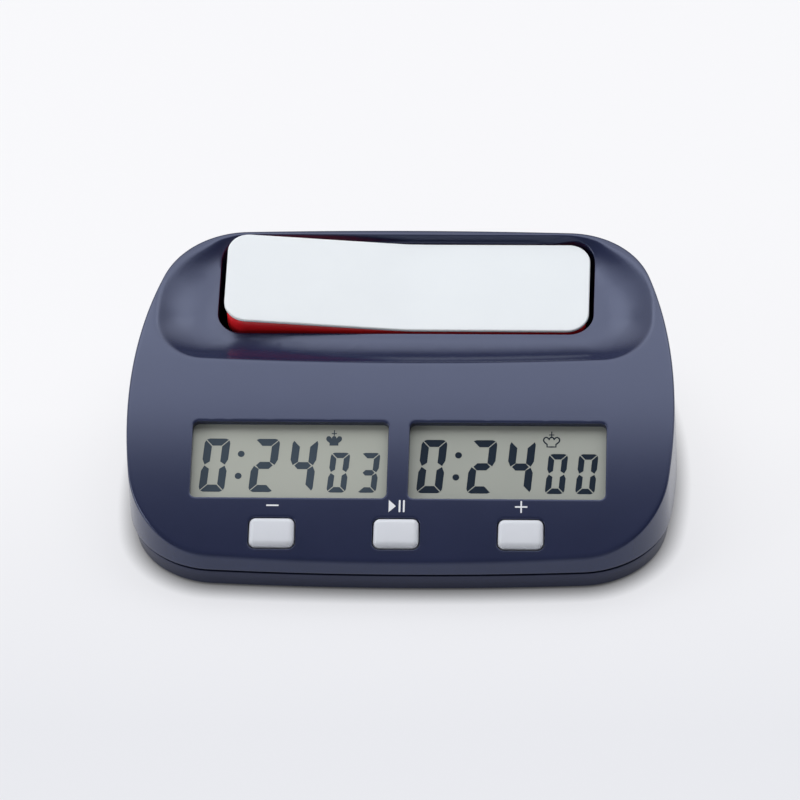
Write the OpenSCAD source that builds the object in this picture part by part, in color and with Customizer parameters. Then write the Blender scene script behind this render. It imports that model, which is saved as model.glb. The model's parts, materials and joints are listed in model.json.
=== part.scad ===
// Digital chess clock: a wedge housing with two displays, three keys and a long two-ended rocker.
// The origin is on the table under the middle of the housing. +X is right, +Z up, and the face looks to -Y.

/* [Housing] */
// Width of the housing at its parting line
body_w = 150; // [148:1:156]
// Depth of the housing at its parting line
body_d = 101; // [100:0.5:106]
// Clear height under the base, set by the feet
foot_h = 0.8; // [0.6:0.1:1.2]
// Height of the base tray
base_h = 6.4; // [6:0.1:7]
// Height of the front wall above the parting line
front_h = 4.5; // [4.2:0.1:5]
// Slope of the face at its front edge, in degrees
front_slope = 29.8; // [29:0.1:30.5]
// Radius of the face's curved side profile
face_r = 235; // [228:1:245]
// Wall thickness of the upper shell
wall = 2.2; // [1.9:0.1:2.4]
// Draft of the upper shell's side walls, in degrees
draft = 1.2; // [0.8:0.1:2]
// Radius of the rolled edge round the face
edge_r = 0.7; // [0.5:0.1:1]
// Floor thickness of the base tray
floor_t = 2.2; // [2:0.1:2.6]
// Height of the shadow gap between the two shells
reveal = 0.5; // [0.3:0.1:0.6]

/* [Outline] */
// Corner radius at the front
front_corner_r = 25; // [23:0.5:26]
// Corner radius at the back
back_corner_r = 25; // [23:0.5:28]
// Bow radius of the sides
side_bow_r = 127; // [120:1:160]
// Bow radius of the front edge
front_bow_r = 900; // [800:50:1600]
// Bow radius of the back edge
back_bow_r = 1500; // [1200:100:3000]
// Distance of the widest place in front of the middle
widest = 9; // [6:0.5:10]

/* [Displays] */
// Distance of a display window from the housing's side
window_side = 18.8; // [17.8:0.1:20]
// Length of a window along the face, as a share of the housing's depth
window_share = 0.2218; // [0.2:0.0001:0.2225]
// Width of the bar between the two windows
window_gap = 5.8; // [5.4:0.1:7]
// Corner radius of a window
window_r = 1.6; // [1:0.1:3]
// Place of the windows' middle behind the front edge, as a share of the housing's depth
display_share = 0.2649; // [0.262:0.0001:0.27]
// Depth of the display glass below the face
glass_depth = 2.9; // [2.8:0.1:3.1]
// Thickness of a display cell
glass_t = 2.4; // [2:0.1:2.6]
// Cover of the glass by the window's frame
glass_cover = 2; // [1.5:0.1:2.3]

/* [Keys] */
// Width of a key
key_w = 12.2; // [11:0.1:13]
// Length of a key along the face
key_l = 8.3; // [7.6:0.1:8.6]
// Corner radius of a key
key_r = 1.7; // [1:0.1:2.5]
// Pitch of the keys, as a share of the housing's width
key_share = 0.224; // [0.2:0.001:0.23]
// Place of the keys' middle behind the front edge, as a share of the housing's depth
key_row_share = 0.0743; // [0.072:0.0001:0.078]
// Height of a key above the face
key_proud = 1; // [0.6:0.1:1.4]
// Travel of a key
key_travel = 0.5; // [0.3:0.05:0.6]
// Gap between a key and its hole
key_gap = 0.3; // [0.25:0.05:0.5]

/* [Rocker] */
// Distance of the rocker's slot from the housing's side
rocker_side = 23.2; // [22.6:0.1:27]
// Depth of the rocker from front to back, as a share of the housing's depth
rocker_share = 0.2891; // [0.27:0.0001:0.292]
// Corner radius of the rocker
rocker_r = 6; // [4:0.5:7]
// Forward slope of the rocker, in degrees
rocker_tilt = 12; // [11.5:0.1:12.5]
// Half of the rocker's bend, and half of its swing, in degrees
rocker_bend = 2.9; // [2.5:0.1:3.2]
// Height of the rocker cap's side
cap_t = 1.5; // [1.4:0.1:2]
// Height of the pressed half above its slot
cap_rise = 0.7; // [0.5:0.1:1]
// Height of the red skirt under the cap
skirt_h = 8; // [7.6:0.1:8.4]
// Step between the cap's side and the skirt's side
skirt_step = 0.7; // [0.5:0.1:1]
// Depth of the pivot below the slot
pivot_drop = 5.2; // [5:0.1:5.4]
// Radius of the pivot pin
pin_r = 1.5; // [1.2:0.1:1.6]
// Distance of the tongue's working point below the pivot
throw_r = 12; // [11.6:0.1:12.2]
// Gap between the rocker and its slot at the front and back
slot_gap = 0.7; // [0.6:0.1:1]
// Gap between the rocker and its slot at the ends
end_gap = 1.6; // [1.4:0.1:2]

/* [Scoop] */
// Depth of the scoop below the face at the slot's middle
dish_drop = 3.9; // [3.7:0.1:4.1]
// Reach of the scoop in front of the slot
dish_front = 12.9; // [12:0.1:13.5]
// Reach of the scoop behind the slot
dish_back = 0.9; // [0.8:0.1:1]
// Reach of the scoop beyond each end of the slot
dish_side = 16.2; // [14:0.1:16.5]
// Distance of the slot in front of the housing's back
rocker_back = 3.4; // [3.3:0.1:4.2]

/* [Battery] */
// Radius of the round cell
cell_r = 7.25; // [7:0.05:7.25]
// Length of the round cell with its nub
cell_l = 50.5; // [49:0.1:51]
// Room for the coil spring
spring_room = 6.7; // [6:0.1:7.5]

/* [Output] */
// Node to draw, or all

/* [Hidden] */
// All node names
// Smoothness of round shapes
$fn = 48;
// Overlap that makes a cut or a join clean
eps = 0.02;

// Colours
navy = [0.10, 0.11, 0.19];
white = [0.92, 0.93, 0.94];
red = [0.72, 0.05, 0.08];
pale_grey = [0.86, 0.87, 0.89];
lcd_green = [0.66, 0.68, 0.60];
board_green = [0.08, 0.30, 0.18];
steel = [0.70, 0.71, 0.72];
black = [0.06, 0.06, 0.07];

// Levels of the housing
base_top = foot_h + base_h - reveal / 2;
part_z = foot_h + base_h + reveal / 2;
front_z = foot_h + base_h + front_h;
floor_z = foot_h + floor_t;

// Face profile: an arc about an axis along X
face_cy = -body_d / 2 + face_r * sin(front_slope);
face_cz = front_z - face_r * cos(front_slope);
function face_z(y) = face_cz + sqrt(face_r * face_r - pow(y - face_cy, 2));
function face_slope(y) = asin((face_cy - y) / face_r);

// Sizes that follow the housing
window_w = body_w / 2 - window_side - window_gap / 2;
window_l = window_share * body_d;
key_pitch = key_share * body_w;
rocker_l = body_w - 2 * (rocker_side + end_gap);
rocker_d = rocker_share * body_d;

// Panel frame, tangent to the face at the middle of the windows
panel_y = -body_d / 2 + display_share * body_d;
panel_z = face_z(panel_y);
panel_tilt = face_slope(panel_y);
function panel_n(s) = sqrt(face_r * face_r - s * s) - face_r;
function panel_pt(p) = [p.x, panel_y + p.y * cos(panel_tilt) - p.z * sin(panel_tilt),
    panel_z + p.y * sin(panel_tilt) + p.z * cos(panel_tilt)];

// Rocker frame, in the slot's plane at its middle
slot_hl = rocker_l / 2 + end_gap;
slot_hd = rocker_d / 2 + slot_gap;
slot_y = body_d / 2 - rocker_back - slot_hd * cos(rocker_tilt);
slot_z = face_z(slot_y) - dish_drop;
slot_u = [cos(rocker_tilt), sin(rocker_tilt)];
slot_n = [-sin(rocker_tilt), cos(rocker_tilt)];
function slot_pt(p) = [p.x, slot_y + p.y * slot_u.x + p.z * slot_n.x,
    slot_z + p.y * slot_u.y + p.z * slot_n.y];
// Height of the face above the slot's plane
function face_over_slot(u) = let (q = [slot_y, slot_z] + u * slot_u - [face_cy, face_cz], k = q * slot_n)
    sqrt(k * k - q * q + face_r * face_r) - k;

// Outline of tangent arcs: each entry holds an arc's centre, its radius and the angle of a point on it
function meet(a, ra, b, rb, side) =
    let (d = norm(b - a), e = (b - a) / d, t = (d * d + ra * ra - rb * rb) / (2 * d))
    a + e * t + side * sqrt(ra * ra - t * t) * [-e.y, e.x];
function heading(v) = atan2(v.y, v.x);
function arc(c, r, from, to, n) = [for (i = [0:n - 1]) [c, r, from + (to - from) * i / n]];
function half_chain(hw, front, back, wide, front_bow, front_r, side_bow, back_r, back_bow) =
    let (cf = [0, front + front_bow], cs = [hw - side_bow, wide], cb = [0, back - back_bow])
    let (kf = meet(cf, front_bow - front_r, cs, side_bow - front_r, 1))
    let (kb = meet(cb, back_bow - back_r, cs, side_bow - back_r, -1))
    let (a1 = heading(kf - cf), a2 = heading(kf - cs), a3 = heading(kb - cs), a4 = heading(kb - cb))
    concat(arc(cf, front_bow, -90, a1, 3), arc(kf, front_r, a1, a2, 8), arc(cs, side_bow, a2, a3, 9),
        arc(kb, back_r, a3, a4, 8), arc(cb, back_bow, a4, 90, 3), [[cb, back_bow, 90]]);
function at(o, inset) = o[0] + (o[1] - inset) * [cos(o[2]), sin(o[2])];
// Whole ring from its right half
function whole(half) = concat(half, [for (i = [len(half) - 2:-1:1]) [-half[i].x, half[i].y, half[i].z]]);

body_chain = half_chain(body_w / 2, -body_d / 2, body_d / 2, -widest, front_bow_r, front_corner_r, side_bow_r,
    back_corner_r, back_bow_r);
// Scoop: its rim on the face and its floor round the slot; a large bow radius is a nearly straight side
rim_front_bow = 1100;
rim_front_r = 13;
rim_back_r = 26;
rim_side_bow = 2000;
flat_bow = 5000;
bowl_side = 4;
bowl_front = 3;
bowl_back = 0.4;
bowl_front_r = 9;
bowl_back_r = 8;
rim_chain = half_chain(slot_hl + dish_side, -slot_hd - dish_front, slot_hd + dish_back, -dish_front,
    rim_front_bow, rim_front_r, rim_side_bow, rim_back_r, flat_bow);
bowl_chain = half_chain(slot_hl + bowl_side, -slot_hd - bowl_front, slot_hd + bowl_back, 0, flat_bow,
    bowl_front_r, rim_side_bow, bowl_back_r, flat_bow);

// Solid through rings of equal length; a ridged top is made of strips from left to right
module loft(rings, ridged = false) {
    n = len(rings[0]);
    m = n / 2;
    top = (len(rings) - 1) * n;
    sides = [for (k = [0:len(rings) - 2]) for (j = [0:n - 1])
        let (a = k * n + j, b = a + n, c = (k + 1) * n + (j + 1) % n, d = c - n) each [[a, b, c], [a, c, d]]];
    strips = concat([[top, top + n - 1, top + 1]],
        [for (i = [1:m - 2]) [top + i, top + n - i, top + n - i - 1, top + i + 1]],
        [[top + m - 1, top + m + 1, top + m]]);
    flat = [[for (j = [n - 1:-1:0]) top + j]];
    polyhedron(points = [for (r = rings) each r],
        faces = concat([[for (j = [0:n - 1]) j]], sides, ridged ? strips : flat));
}

// Form of the upper shell, shrunk by a gap on all sides, from a given height up
function rim_inset(o, gap) = let (d1 = gap + (face_z(at(o, gap).y) - part_z) * tan(draft))
    gap + (face_z(at(o, d1).y) - part_z) * tan(draft);
function roll_point(o, gap, r, a) = let (d = rim_inset(o, gap) + r * (1 - cos(a)), p = at(o, d))
    [p.x, p.y, face_z(p.y) - gap / cos(face_slope(p.y)) - r * (1 - sin(a))];
module housing_form(gap, roll, from) {
    angles = roll > 0 ? [0, 30, 60, 90] : [90];
    foot_ring = [for (o = body_chain) let (p = at(o, gap)) [p.x, p.y, from]];
    loft(concat([whole(foot_ring)],
        [for (a = angles) whole([for (o = body_chain) roll_point(o, gap, roll, a)])]), true);
}

// Form of the scoop, grown by a given amount
bowl_steps = 4;
bowl_power = 2.2;
dish_top = 16;
dish_flare = 0.4;
module dish_form(grow) {
    last = len(rim_chain) - 1;
    in_slot_frame() loft(concat(
        [for (k = [0:bowl_steps]) whole([for (i = [0:last])
            let (t = k / bowl_steps, a = at(bowl_chain[i], -grow), b = at(rim_chain[i], -grow))
            let (h = face_over_slot(at(rim_chain[i], 0).y) * pow(t, bowl_power) - grow)
            [a.x + (b.x - a.x) * t, a.y + (b.y - a.y) * t, h]])],
        [whole([for (o = rim_chain) let (b = at(o, -grow - dish_flare)) [b.x, b.y, dish_top]])]));
}

module in_panel() {
    translate([0, panel_y, panel_z]) rotate([panel_tilt, 0, 0]) children();
}
module in_slot_frame() {
    translate([0, slot_y, slot_z]) rotate([rocker_tilt, 0, 0]) children();
}
module on_pivot() {
    in_slot_frame() translate([0, 0, -pivot_drop]) children();
}
// Rest pose of the rocker: the left end is up
module rocker_pose() {
    on_pivot() rotate([0, rocker_bend, 0]) children();
}

// Plain shapes
function rounded(w, d, r) = [for (q = [0:3]) for (i = [0:6]) let (a = q * 90 + i * 15)
    [(q == 0 || q == 3 ? 1 : -1) * (w / 2 - r) + r * cos(a), (q < 2 ? 1 : -1) * (d / 2 - r) + r * sin(a)]];
module slab(w, d, r, low, high) {
    translate([0, 0, low]) linear_extrude(high - low) polygon(rounded(w, d, r));
}
module block(x0, x1, y0, y1, z0, z1) {
    translate([x0, y0, z0]) cube([x1 - x0, y1 - y0, z1 - z0]);
}
module post(p, r, low, high) {
    translate([p.x, p.y, low]) cylinder(r = r, h = high - low);
}
module rod_y(r, from, to) {
    translate([0, from, 0]) rotate([-90, 0, 0]) cylinder(r = r, h = to - from);
}
module rod_x(r, from, to) {
    translate([from, 0, 0]) rotate([0, 90, 0]) cylinder(r = r, h = to - from);
}
module body_prism(inset, low, high) {
    ring = whole([for (o = body_chain) let (p = at(o, inset)) [p.x, p.y, 0]]);
    translate([0, 0, low]) linear_extrude(high - low) polygon([for (p = ring) [p.x, p.y]]);
}
// Round wire through a list of points
function unit(v) = v / norm(v);
function between(a, b, c, d, t) = 0.5 * (2 * b + (c - a) * t + (2 * a - 5 * b + 4 * c - d) * t * t
    + (3 * b - a - 3 * c + d) * t * t * t);
function smooth(p, n) = let (e = len(p) - 1) concat([for (i = [0:e - 1]) for (k = [0:n - 1])
    between(p[max(i - 1, 0)], p[i], p[i + 1], p[min(i + 2, e)], k / n)], [p[e]]);
module wire(path, r, up, sides) {
    e = len(path) - 1;
    rings = [for (i = [0:e]) let (t = unit(path[min(i + 1, e)] - path[max(i - 1, 0)]))
        let (a = unit(cross(t, up)), b = cross(t, a))
        [for (j = [0:sides - 1]) path[i] + r * (a * cos(j * 360 / sides) + b * sin(j * 360 / sides))]];
    loft(rings);
}

// Screws and bosses of the housing
boss_r = 4;
boss_room = 1;
screw_side = 17;
screw_back = 18.5;
screw_x = body_w / 2 - screw_side;
screw_front_y = panel_pt([0, -window_l / 2 - glass_cover, -glass_depth]).y - boss_r - boss_room;
screw_back_y = body_d / 2 - screw_back;
screw_spots = [[-screw_x, screw_front_y], [screw_x, screw_front_y], [-screw_x, screw_back_y],
    [screw_x, screw_back_y]];
screw_r = 1.25;
screw_l = 7.4;
screw_head_r = 2.7;
screw_head_h = 2;
screw_hole_r = 1.6;
screw_well_r = 3.1;
screw_end_room = 0.3;
drive_l = 3.4;
drive_w = 0.8;
drive_d = 0.9;
boss_rise = 2.5;
seat_t = 2.9;
joint_z = base_top + boss_rise;
seat_z = joint_z - seat_t;
lip_h = 1.2;
lip_gap = 0.15;
lip_t = 1.2;
lip_inset = wall + lip_gap + lip_h * tan(draft);

// Feet
foot_r = 5;
foot_recess = 0.8;
foot_chamfer = 0.4;
foot_front_in = [14, 22.5];
foot_back_in = [28, 10.5];
foot_front = [body_w / 2 - foot_front_in.x, -body_d / 2 + foot_front_in.y];
foot_back = [body_w / 2 - foot_back_in.x, body_d / 2 - foot_back_in.y];

// Panel stack, as depths below the face
window_x = (window_w + window_gap) / 2;
glass_w = window_w + 2 * glass_cover;
glass_l = window_l + 2 * glass_cover;
glass_back = -glass_depth - glass_t;
strip_h = 2.7;
strip_w = 2.5;
board_top = glass_back - strip_h;
board_t = 1.6;
board_low = board_top - board_t;
board_side = 9.5;
board_rear = 4.45;
board_hw = window_x + window_w / 2 + board_side;
board_back = window_l / 2 + board_rear;
board_step = -10;
board_tab = 14;
board_tab_hw = key_pitch + board_tab;
board_spot_in = 3.5;
board_spot_x = board_hw - board_spot_in;
board_spot_s = 8;
board_hole_room = 0.1;
board_spots = [[-board_spot_x, -board_spot_s], [board_spot_x, -board_spot_s], [-board_spot_x, board_spot_s],
    [board_spot_x, board_spot_s]];
small_screw_r = 1.1;
small_head_r = 2.2;
small_head_h = 1.6;
small_boss_r = 2.8;
small_screw_depth = 4;
seat_frame = 1.6;
seat_r = 2;
strip_in = 1;

// Keys
key_y = -body_d / 2 + key_row_share * body_d;
key_s = -face_r * sin(face_slope(key_y) - panel_tilt);
key_face = panel_n(key_s);
key_flange = 0.9;
key_flange_t = 1;
key_flange_room = 0.75;
key_flange_top = key_face - wall - key_flange_room;
key_bottom = key_flange_top - key_flange_t;
tact_w = 6;
tact_h = 1.6;
tact_top = board_top + tact_h;
plunger_r = 1.5;
plunger_gap = 0.3;
plunger_tail = 0.7;
key_stem_r = 1.7;
plunger_rise = 0.2;
key_stem_low = tact_top + key_travel + plunger_rise;
key_place = [-key_pitch, 0, key_pitch];
board_lip = 3.4;
board_front = key_s - board_lip;

// Rocker
rocker_h = (pivot_drop + cap_rise) / cos(rocker_bend);
skirt_hd = rocker_d / 2 - skirt_step;
skirt_hl = rocker_l / 2 - skirt_step;
skirt_wall = 1.6;
skirt_low = rocker_h - cap_t - skirt_h;
skirt_room = 0.5;
pin_gap = 0.05;
ear_gap = 0.6;
ear_t = 4.2;
ear_hw = 4.5;
hub_wall = 1.9;
ear_wall = 2.1;
pin_seat = 1.7;
hub_r = pin_r + hub_wall;
ear_r = pin_r + ear_wall;
pin_front = -skirt_hd - ear_gap - ear_t;
pin_back = skirt_hd + ear_gap + pin_seat;
tongue_hw = 1.25;
tongue_hd = 2.6;
tongue_lap = 1.2;
tongue_tip = -throw_r - tongue_lap;

// Toggle switch, as heights over the slot's plane
throw_x = -throw_r * sin(rocker_bend);
finger_gap = 0.25;
finger_t = 1.2;
finger_x = tongue_hw + finger_gap;
finger_hd = 1.6;
finger_top = -pivot_drop - throw_r + tongue_lap;
finger_l = 2.8;
toggle_lid = 0.8;
toggle_end = 1.6;
toggle_side = 1;
toggle_floor = 1.7;
toggle_top = finger_top - finger_l;
slider_top = toggle_top - toggle_lid;
slider_t = 2;
slider_edge = 0.5;
slider_hw = finger_x + finger_t + slider_edge;
slider_hd = 2.4;
slide_gap = 0.25;
toggle_play = -throw_x + slide_gap;
toggle_hw = slider_hw + toggle_play + toggle_end;
toggle_hd = slider_hd + slide_gap + toggle_side;
toggle_low = slider_top - slider_t - slide_gap - toggle_floor;
rboard_hw = 16;
rboard_reach = 6;
rboard_front = -slot_hd - rboard_reach;
rboard_back = 5.5;
rboard_post_r = 2.5;
rboard_post_in = 4;
rboard_post_lap = 0.4;
rboard_post = [rboard_hw - rboard_post_in, -slot_hd - rboard_post_r + rboard_post_lap];

// Battery bay
bay_gap = 0.65;
bay_wall = 1.5;
plate_t = 0.4;
bay_hl = (cell_l + spring_room + 2 * plate_t) / 2;
bay_hd = cell_r + bay_gap;
bay_y = (panel_pt([0, board_back, board_low]).y + slot_pt([0, rboard_front, toggle_low]).y) / 2;
cell_under = 0.2;
cell_over = 0.4;
cell_z = floor_z + cell_under + cell_r;
bay_roof = cell_z + cell_r + cell_over;
bay_top = bay_roof + bay_wall;
cell_nub_r = 2.7;
cell_nub_l = 1.3;
cell_tip = bay_hl - plate_t;
cell_end = cell_tip - cell_l;
plate_in = 1.25;
plate_hw = cell_r - plate_in;
tab_hw = 2;
tab_lap = 1;
tab_rise = 1.3;
tab_room = 0.4;
tab_slot_hw = 0.5;
tab_top = bay_top + tab_rise;
notch_r = 6;
notch_depth = 1;
door_gap = 0.35;
door_t = 1.8;
hinge_r = 1.9;
hinge_y = bay_y + bay_hd - door_gap - hinge_r;
hinge_z = foot_h + hinge_r;
hinge_pin_r = 0.9;
grip_hl = 5;
grip_w = 0.8;
grip_h = 0.4;
hinge_pin_room = 0.3;
spring_wire_r = 0.4;
spring_turns = 4;
spring_wide = 5.2;
spring_narrow = 3.4;
spring_weld = 0.1;
spring_gap = 0.03;

// Power switch
power_in = 23;
power_at = [-body_w / 2 + power_in, 16];
power_travel = 2.5;
power_knob_hw = 1.8;
power_knob_hd = 1.3;
power_head_hw = 3.2;
power_head_hd = 2.2;
power_head_t = 1;
power_gap = 0.25;
power_case_h = 5;
power_recess = 1;
power_recess_end = 3;
power_recess_d = 8;
power_recess_r = 1.5;
power_end = 1.5;
power_side = 1.2;

// Parts under the main board
blob_r = 6;
blob_h = 1.6;
blob_s = 2;
crystal_x = 20;
crystal_r = 1;
crystal_l = 6;
buzzer_r = 6;
buzzer_h = 8;
buzzer_room = 4.4;
buzzer_hole_r = 1;
buzzer_hole_depth = 2;
sound_hole_r = 0.9;
sound_pitch = 3.2;
pad_room = 3.5;
pad_s = 9;
pad_x = bay_hl + bay_wall + pad_room;
wire_r = 0.6;
wire_bend = 3;
wire_gap = 0.06;
buzzer_at = [pad_x + wire_r + buzzer_room + buzzer_r, buzzer_r * 0.6];
cable_r = 1;
cable_x = 8;

module window_cut(x) {
    in_panel() translate([x, 0, 0]) slab(window_w, window_l, window_r, -6, 6);
}

// Bosses, ears and seats inside the upper shell, before they are trimmed to the wall
module shell_fittings() {
    for (p = screw_spots) post(p, boss_r, joint_z, front_z + 40);
    in_panel() {
        for (p = board_spots) post(p, small_boss_r, board_top, 10);
        for (x = [-window_x, window_x])
            translate([x, 0, 0]) slab(glass_w + 2 * seat_frame, glass_l + 2 * seat_frame, seat_r,
                -glass_depth, 4);
    }
    in_slot_frame() {
        for (x = [-rboard_post.x, rboard_post.x]) post([x, rboard_post.y], rboard_post_r, toggle_low, 10);
        block(-ear_hw, ear_hw, pin_front, -skirt_hd - ear_gap, -pivot_drop - ear_r, 5);
        block(-ear_hw, ear_hw, skirt_hd + ear_gap, slot_hd + 12, -pivot_drop - ear_r, -wall);
    }
}

module upper_shell() {
    color(navy) difference() {
        union() {
            difference() {
                housing_form(0, edge_r, part_z);
                difference() {
                    housing_form(wall, 0, part_z - 1);
                    dish_form(wall);
                }
            }
            difference() {
                intersection() {
                    shell_fittings();
                    housing_form(wall / 2, 0, part_z);
                }
                dish_form(wall / 2);
            }
        }
        dish_form(0);
        in_slot_frame() {
            slab(2 * slot_hl, 2 * slot_hd, rocker_r + slot_gap, -wall - 0.3, 12);
            slab(2 * (skirt_hl + skirt_room), 2 * (skirt_hd + skirt_room), rocker_r - skirt_step + skirt_room,
                skirt_low - pivot_drop - skirt_room, -wall);
        }
        window_cut(-window_x);
        window_cut(window_x);
        in_panel() {
            for (x = key_place) translate([x, key_s, 0])
                slab(key_w + 2 * key_gap, key_l + 2 * key_gap, key_r + key_gap, -8, 6);
            for (p = board_spots) post(p, small_screw_r, board_top - 1, board_top + small_screw_depth);
        }
        for (p = screw_spots) post(p, screw_r, joint_z - 1, seat_z + screw_l);
        on_pivot() rod_y(pin_r, pin_front - 1, pin_back);
        in_slot_frame() for (x = [-rboard_post.x, rboard_post.x])
            post([x, rboard_post.y], small_screw_r, toggle_low - 1, toggle_low + small_screw_depth);
    }
}

// Base tray
base_edge_r = 0.5;
base_step = 0.45;
base_draft = 7;
base_tuck = base_step + base_h * tan(base_draft);
module lower_shell() {
    edge = [for (a = [0, 45, 90])
        [base_tuck + base_edge_r * (1 - sin(a)), foot_h + base_edge_r * (1 - cos(a))]];
    levels = concat(edge, [[base_step, base_top]]);
    color(navy) difference() {
        union() {
            difference() {
                union() {
                    loft([for (l = levels)
                        whole([for (o = body_chain) let (p = at(o, l[0])) [p.x, p.y, l[1]]])]);
                    body_prism(lip_inset, floor_z, base_top + lip_h);
                }
                body_prism(lip_inset + lip_t, floor_z, base_top + lip_h + 1);
            }
            for (p = screw_spots) post(p, boss_r, floor_z - eps, joint_z);
            block(-bay_hl - bay_wall, bay_hl + bay_wall, bay_y - bay_hd - bay_wall, bay_y + bay_hd + bay_wall,
                floor_z - eps, bay_top);
        }
        block(-bay_hl, bay_hl, bay_y - bay_hd, bay_y + bay_hd, foot_h - 1, bay_roof);
        translate([0, hinge_y, hinge_z])
            rod_x(hinge_pin_r + pin_gap, -bay_hl - bay_wall - 1, bay_hl + bay_wall + 1);
        for (x = [-bay_hl + plate_t / 2, bay_hl - plate_t / 2])
            block(x - tab_slot_hw, x + tab_slot_hw, bay_y - tab_hw - tab_room, bay_y + tab_hw + tab_room,
                bay_roof - 1, bay_top + 1);
        post([0, bay_y - bay_hd], notch_r, foot_h - 1, foot_h + notch_depth);
        for (p = screw_spots) {
            post(p, screw_well_r, foot_h - 1, seat_z);
            post(p, screw_hole_r, seat_z - 1, joint_z + 1);
        }
        for (x = [-1, 1]) for (f = [foot_front, foot_back])
            post([x * f.x, f.y], foot_r, foot_h - 1, foot_h + foot_recess);
        translate([power_at.x, power_at.y, 0]) {
            slab(2 * (power_head_hw + power_recess_end) + power_travel, power_recess_d, power_recess_r,
                foot_h - 1, foot_h + power_recess);
            slab(2 * power_knob_hw + power_travel + 2 * power_gap, 2 * power_knob_hd + 2 * power_gap, 0.3,
                foot_h, floor_z + 1);
        }
        for (p = [[0, 0], [1, 0], [-1, 0], [0, 1], [0, -1]])
            post([buzzer_at.x, panel_pt([0, buzzer_at.y, board_low - buzzer_h]).y] + p * sound_pitch,
                sound_hole_r, foot_h - 1, floor_z + 1);
    }
}

// Bent bar: a shallow V in side view, between two depths below the rocker's top
module v_bar(from, to) {
    rise = rocker_l * tan(rocker_bend);
    y0 = rocker_h - from;
    y1 = rocker_h - to;
    rotate([90, 0, 0]) linear_extrude(2 * rocker_d, center = true)
        polygon([[-rocker_l, y0 + rise], [-rocker_l, y1 + rise], [0, y1], [rocker_l, y1 + rise],
            [rocker_l, y0 + rise], [0, y0]]);
}
module bent_slab(step, from, to) {
    intersection() {
        v_bar(from, to);
        slab(rocker_l - 2 * step, rocker_d - 2 * step, rocker_r - step, -30, 30);
    }
}

module rocker_cap() {
    color(white) rocker_pose() bent_slab(0, 0, cap_t);
}

module rocker_skirt() {
    color(red) rocker_pose() difference() {
        union() {
            difference() {
                bent_slab(skirt_step, cap_t, cap_t + skirt_h);
                bent_slab(skirt_step + skirt_wall, cap_t + skirt_wall, cap_t + skirt_h + 1);
            }
            rod_y(hub_r, -skirt_hd, skirt_hd);
            block(-tongue_hw, tongue_hw, -skirt_hd + skirt_wall / 2, skirt_hd - skirt_wall / 2, 0,
                rocker_h - cap_t - skirt_wall / 2);
            block(-tongue_hw, tongue_hw, -tongue_hd, tongue_hd, tongue_tip, -hub_r / 2);
        }
        rod_y(pin_r + pin_gap, -rocker_d, rocker_d);
    }
}

module rocker_pin() {
    color(steel) on_pivot() rod_y(pin_r, pin_front, pin_back);
}

module toggle_switch_case() {
    color(black) in_slot_frame() difference() {
        block(-toggle_hw, toggle_hw, -toggle_hd, toggle_hd, toggle_low, toggle_top);
        block(-slider_hw - toggle_play, slider_hw + toggle_play, -slider_hd - slide_gap,
            slider_hd + slide_gap, slider_top - slider_t - slide_gap, slider_top + slide_gap);
        block(-finger_x - finger_t - toggle_play, finger_x + finger_t + toggle_play, -finger_hd - slide_gap,
            finger_hd + slide_gap, slider_top, toggle_top + 1);
    }
}

module toggle_switch_slider() {
    color(pale_grey) in_slot_frame() translate([throw_x, 0, 0]) {
        block(-slider_hw, slider_hw, -slider_hd, slider_hd, slider_top - slider_t, slider_top);
        for (x = [-finger_x - finger_t, finger_x])
            block(x, x + finger_t, -finger_hd, finger_hd, slider_top - eps, finger_top);
    }
}

module rocker_board() {
    color(board_green) in_slot_frame() difference() {
        block(-rboard_hw, rboard_hw, rboard_front, rboard_back, toggle_low - board_t, toggle_low);
        for (x = [-rboard_post.x, rboard_post.x])
            post([x, rboard_post.y], small_screw_r + board_hole_room, toggle_low - board_t - 1,
                toggle_low + 1);
    }
}

// Small screw with its head under a board
module board_screw(p, low) {
    post(p, small_head_r, low - small_head_h, low);
    post(p, small_screw_r, low - eps, low + board_t + small_screw_depth - screw_end_room);
}

module rocker_board_screws() {
    color(steel) in_slot_frame() for (x = [-rboard_post.x, rboard_post.x])
        board_screw([x, rboard_post.y], toggle_low - board_t);
}

module main_board() {
    color(board_green) in_panel() difference() {
        union() {
            block(-board_hw, board_hw, board_step, board_back, board_low, board_top);
            block(-board_tab_hw, board_tab_hw, board_front, board_step + 1, board_low, board_top);
        }
        for (p = board_spots) post(p, small_screw_r + board_hole_room, board_low - 1, board_top + 1);
    }
}

module main_board_screws() {
    color(steel) in_panel() for (p = board_spots) board_screw(p, board_low);
}

module lcd(x) {
    color(lcd_green) in_panel() translate([x, 0, 0])
        block(-glass_w / 2, glass_w / 2, -glass_l / 2, glass_l / 2, glass_back, -glass_depth);
}
module lcd_left() {
    lcd(-window_x);
}
module lcd_right() {
    lcd(window_x);
}

module lcd_connector(x) {
    color(pale_grey) in_panel() translate([x, 0, 0])
        for (s = [-glass_l / 2 + strip_in, glass_l / 2 - strip_in - strip_w])
            block(-window_w / 2, window_w / 2, s, s + strip_w, board_top, glass_back);
}
module lcd_connector_left() {
    lcd_connector(-window_x);
}
module lcd_connector_right() {
    lcd_connector(window_x);
}

module key_cap(x) {
    color(pale_grey) in_panel() translate([x, key_s, 0]) {
        slab(key_w, key_l, key_r, key_flange_top - eps, key_face + key_proud);
        slab(key_w + 2 * key_flange, key_l + 2 * key_flange, key_r, key_bottom, key_flange_top);
        post([0, 0], key_stem_r, key_stem_low, key_bottom + eps);
    }
}
module minus_button() {
    key_cap(key_place[0]);
}
module pause_button() {
    key_cap(key_place[1]);
}
module plus_button() {
    key_cap(key_place[2]);
}

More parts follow.
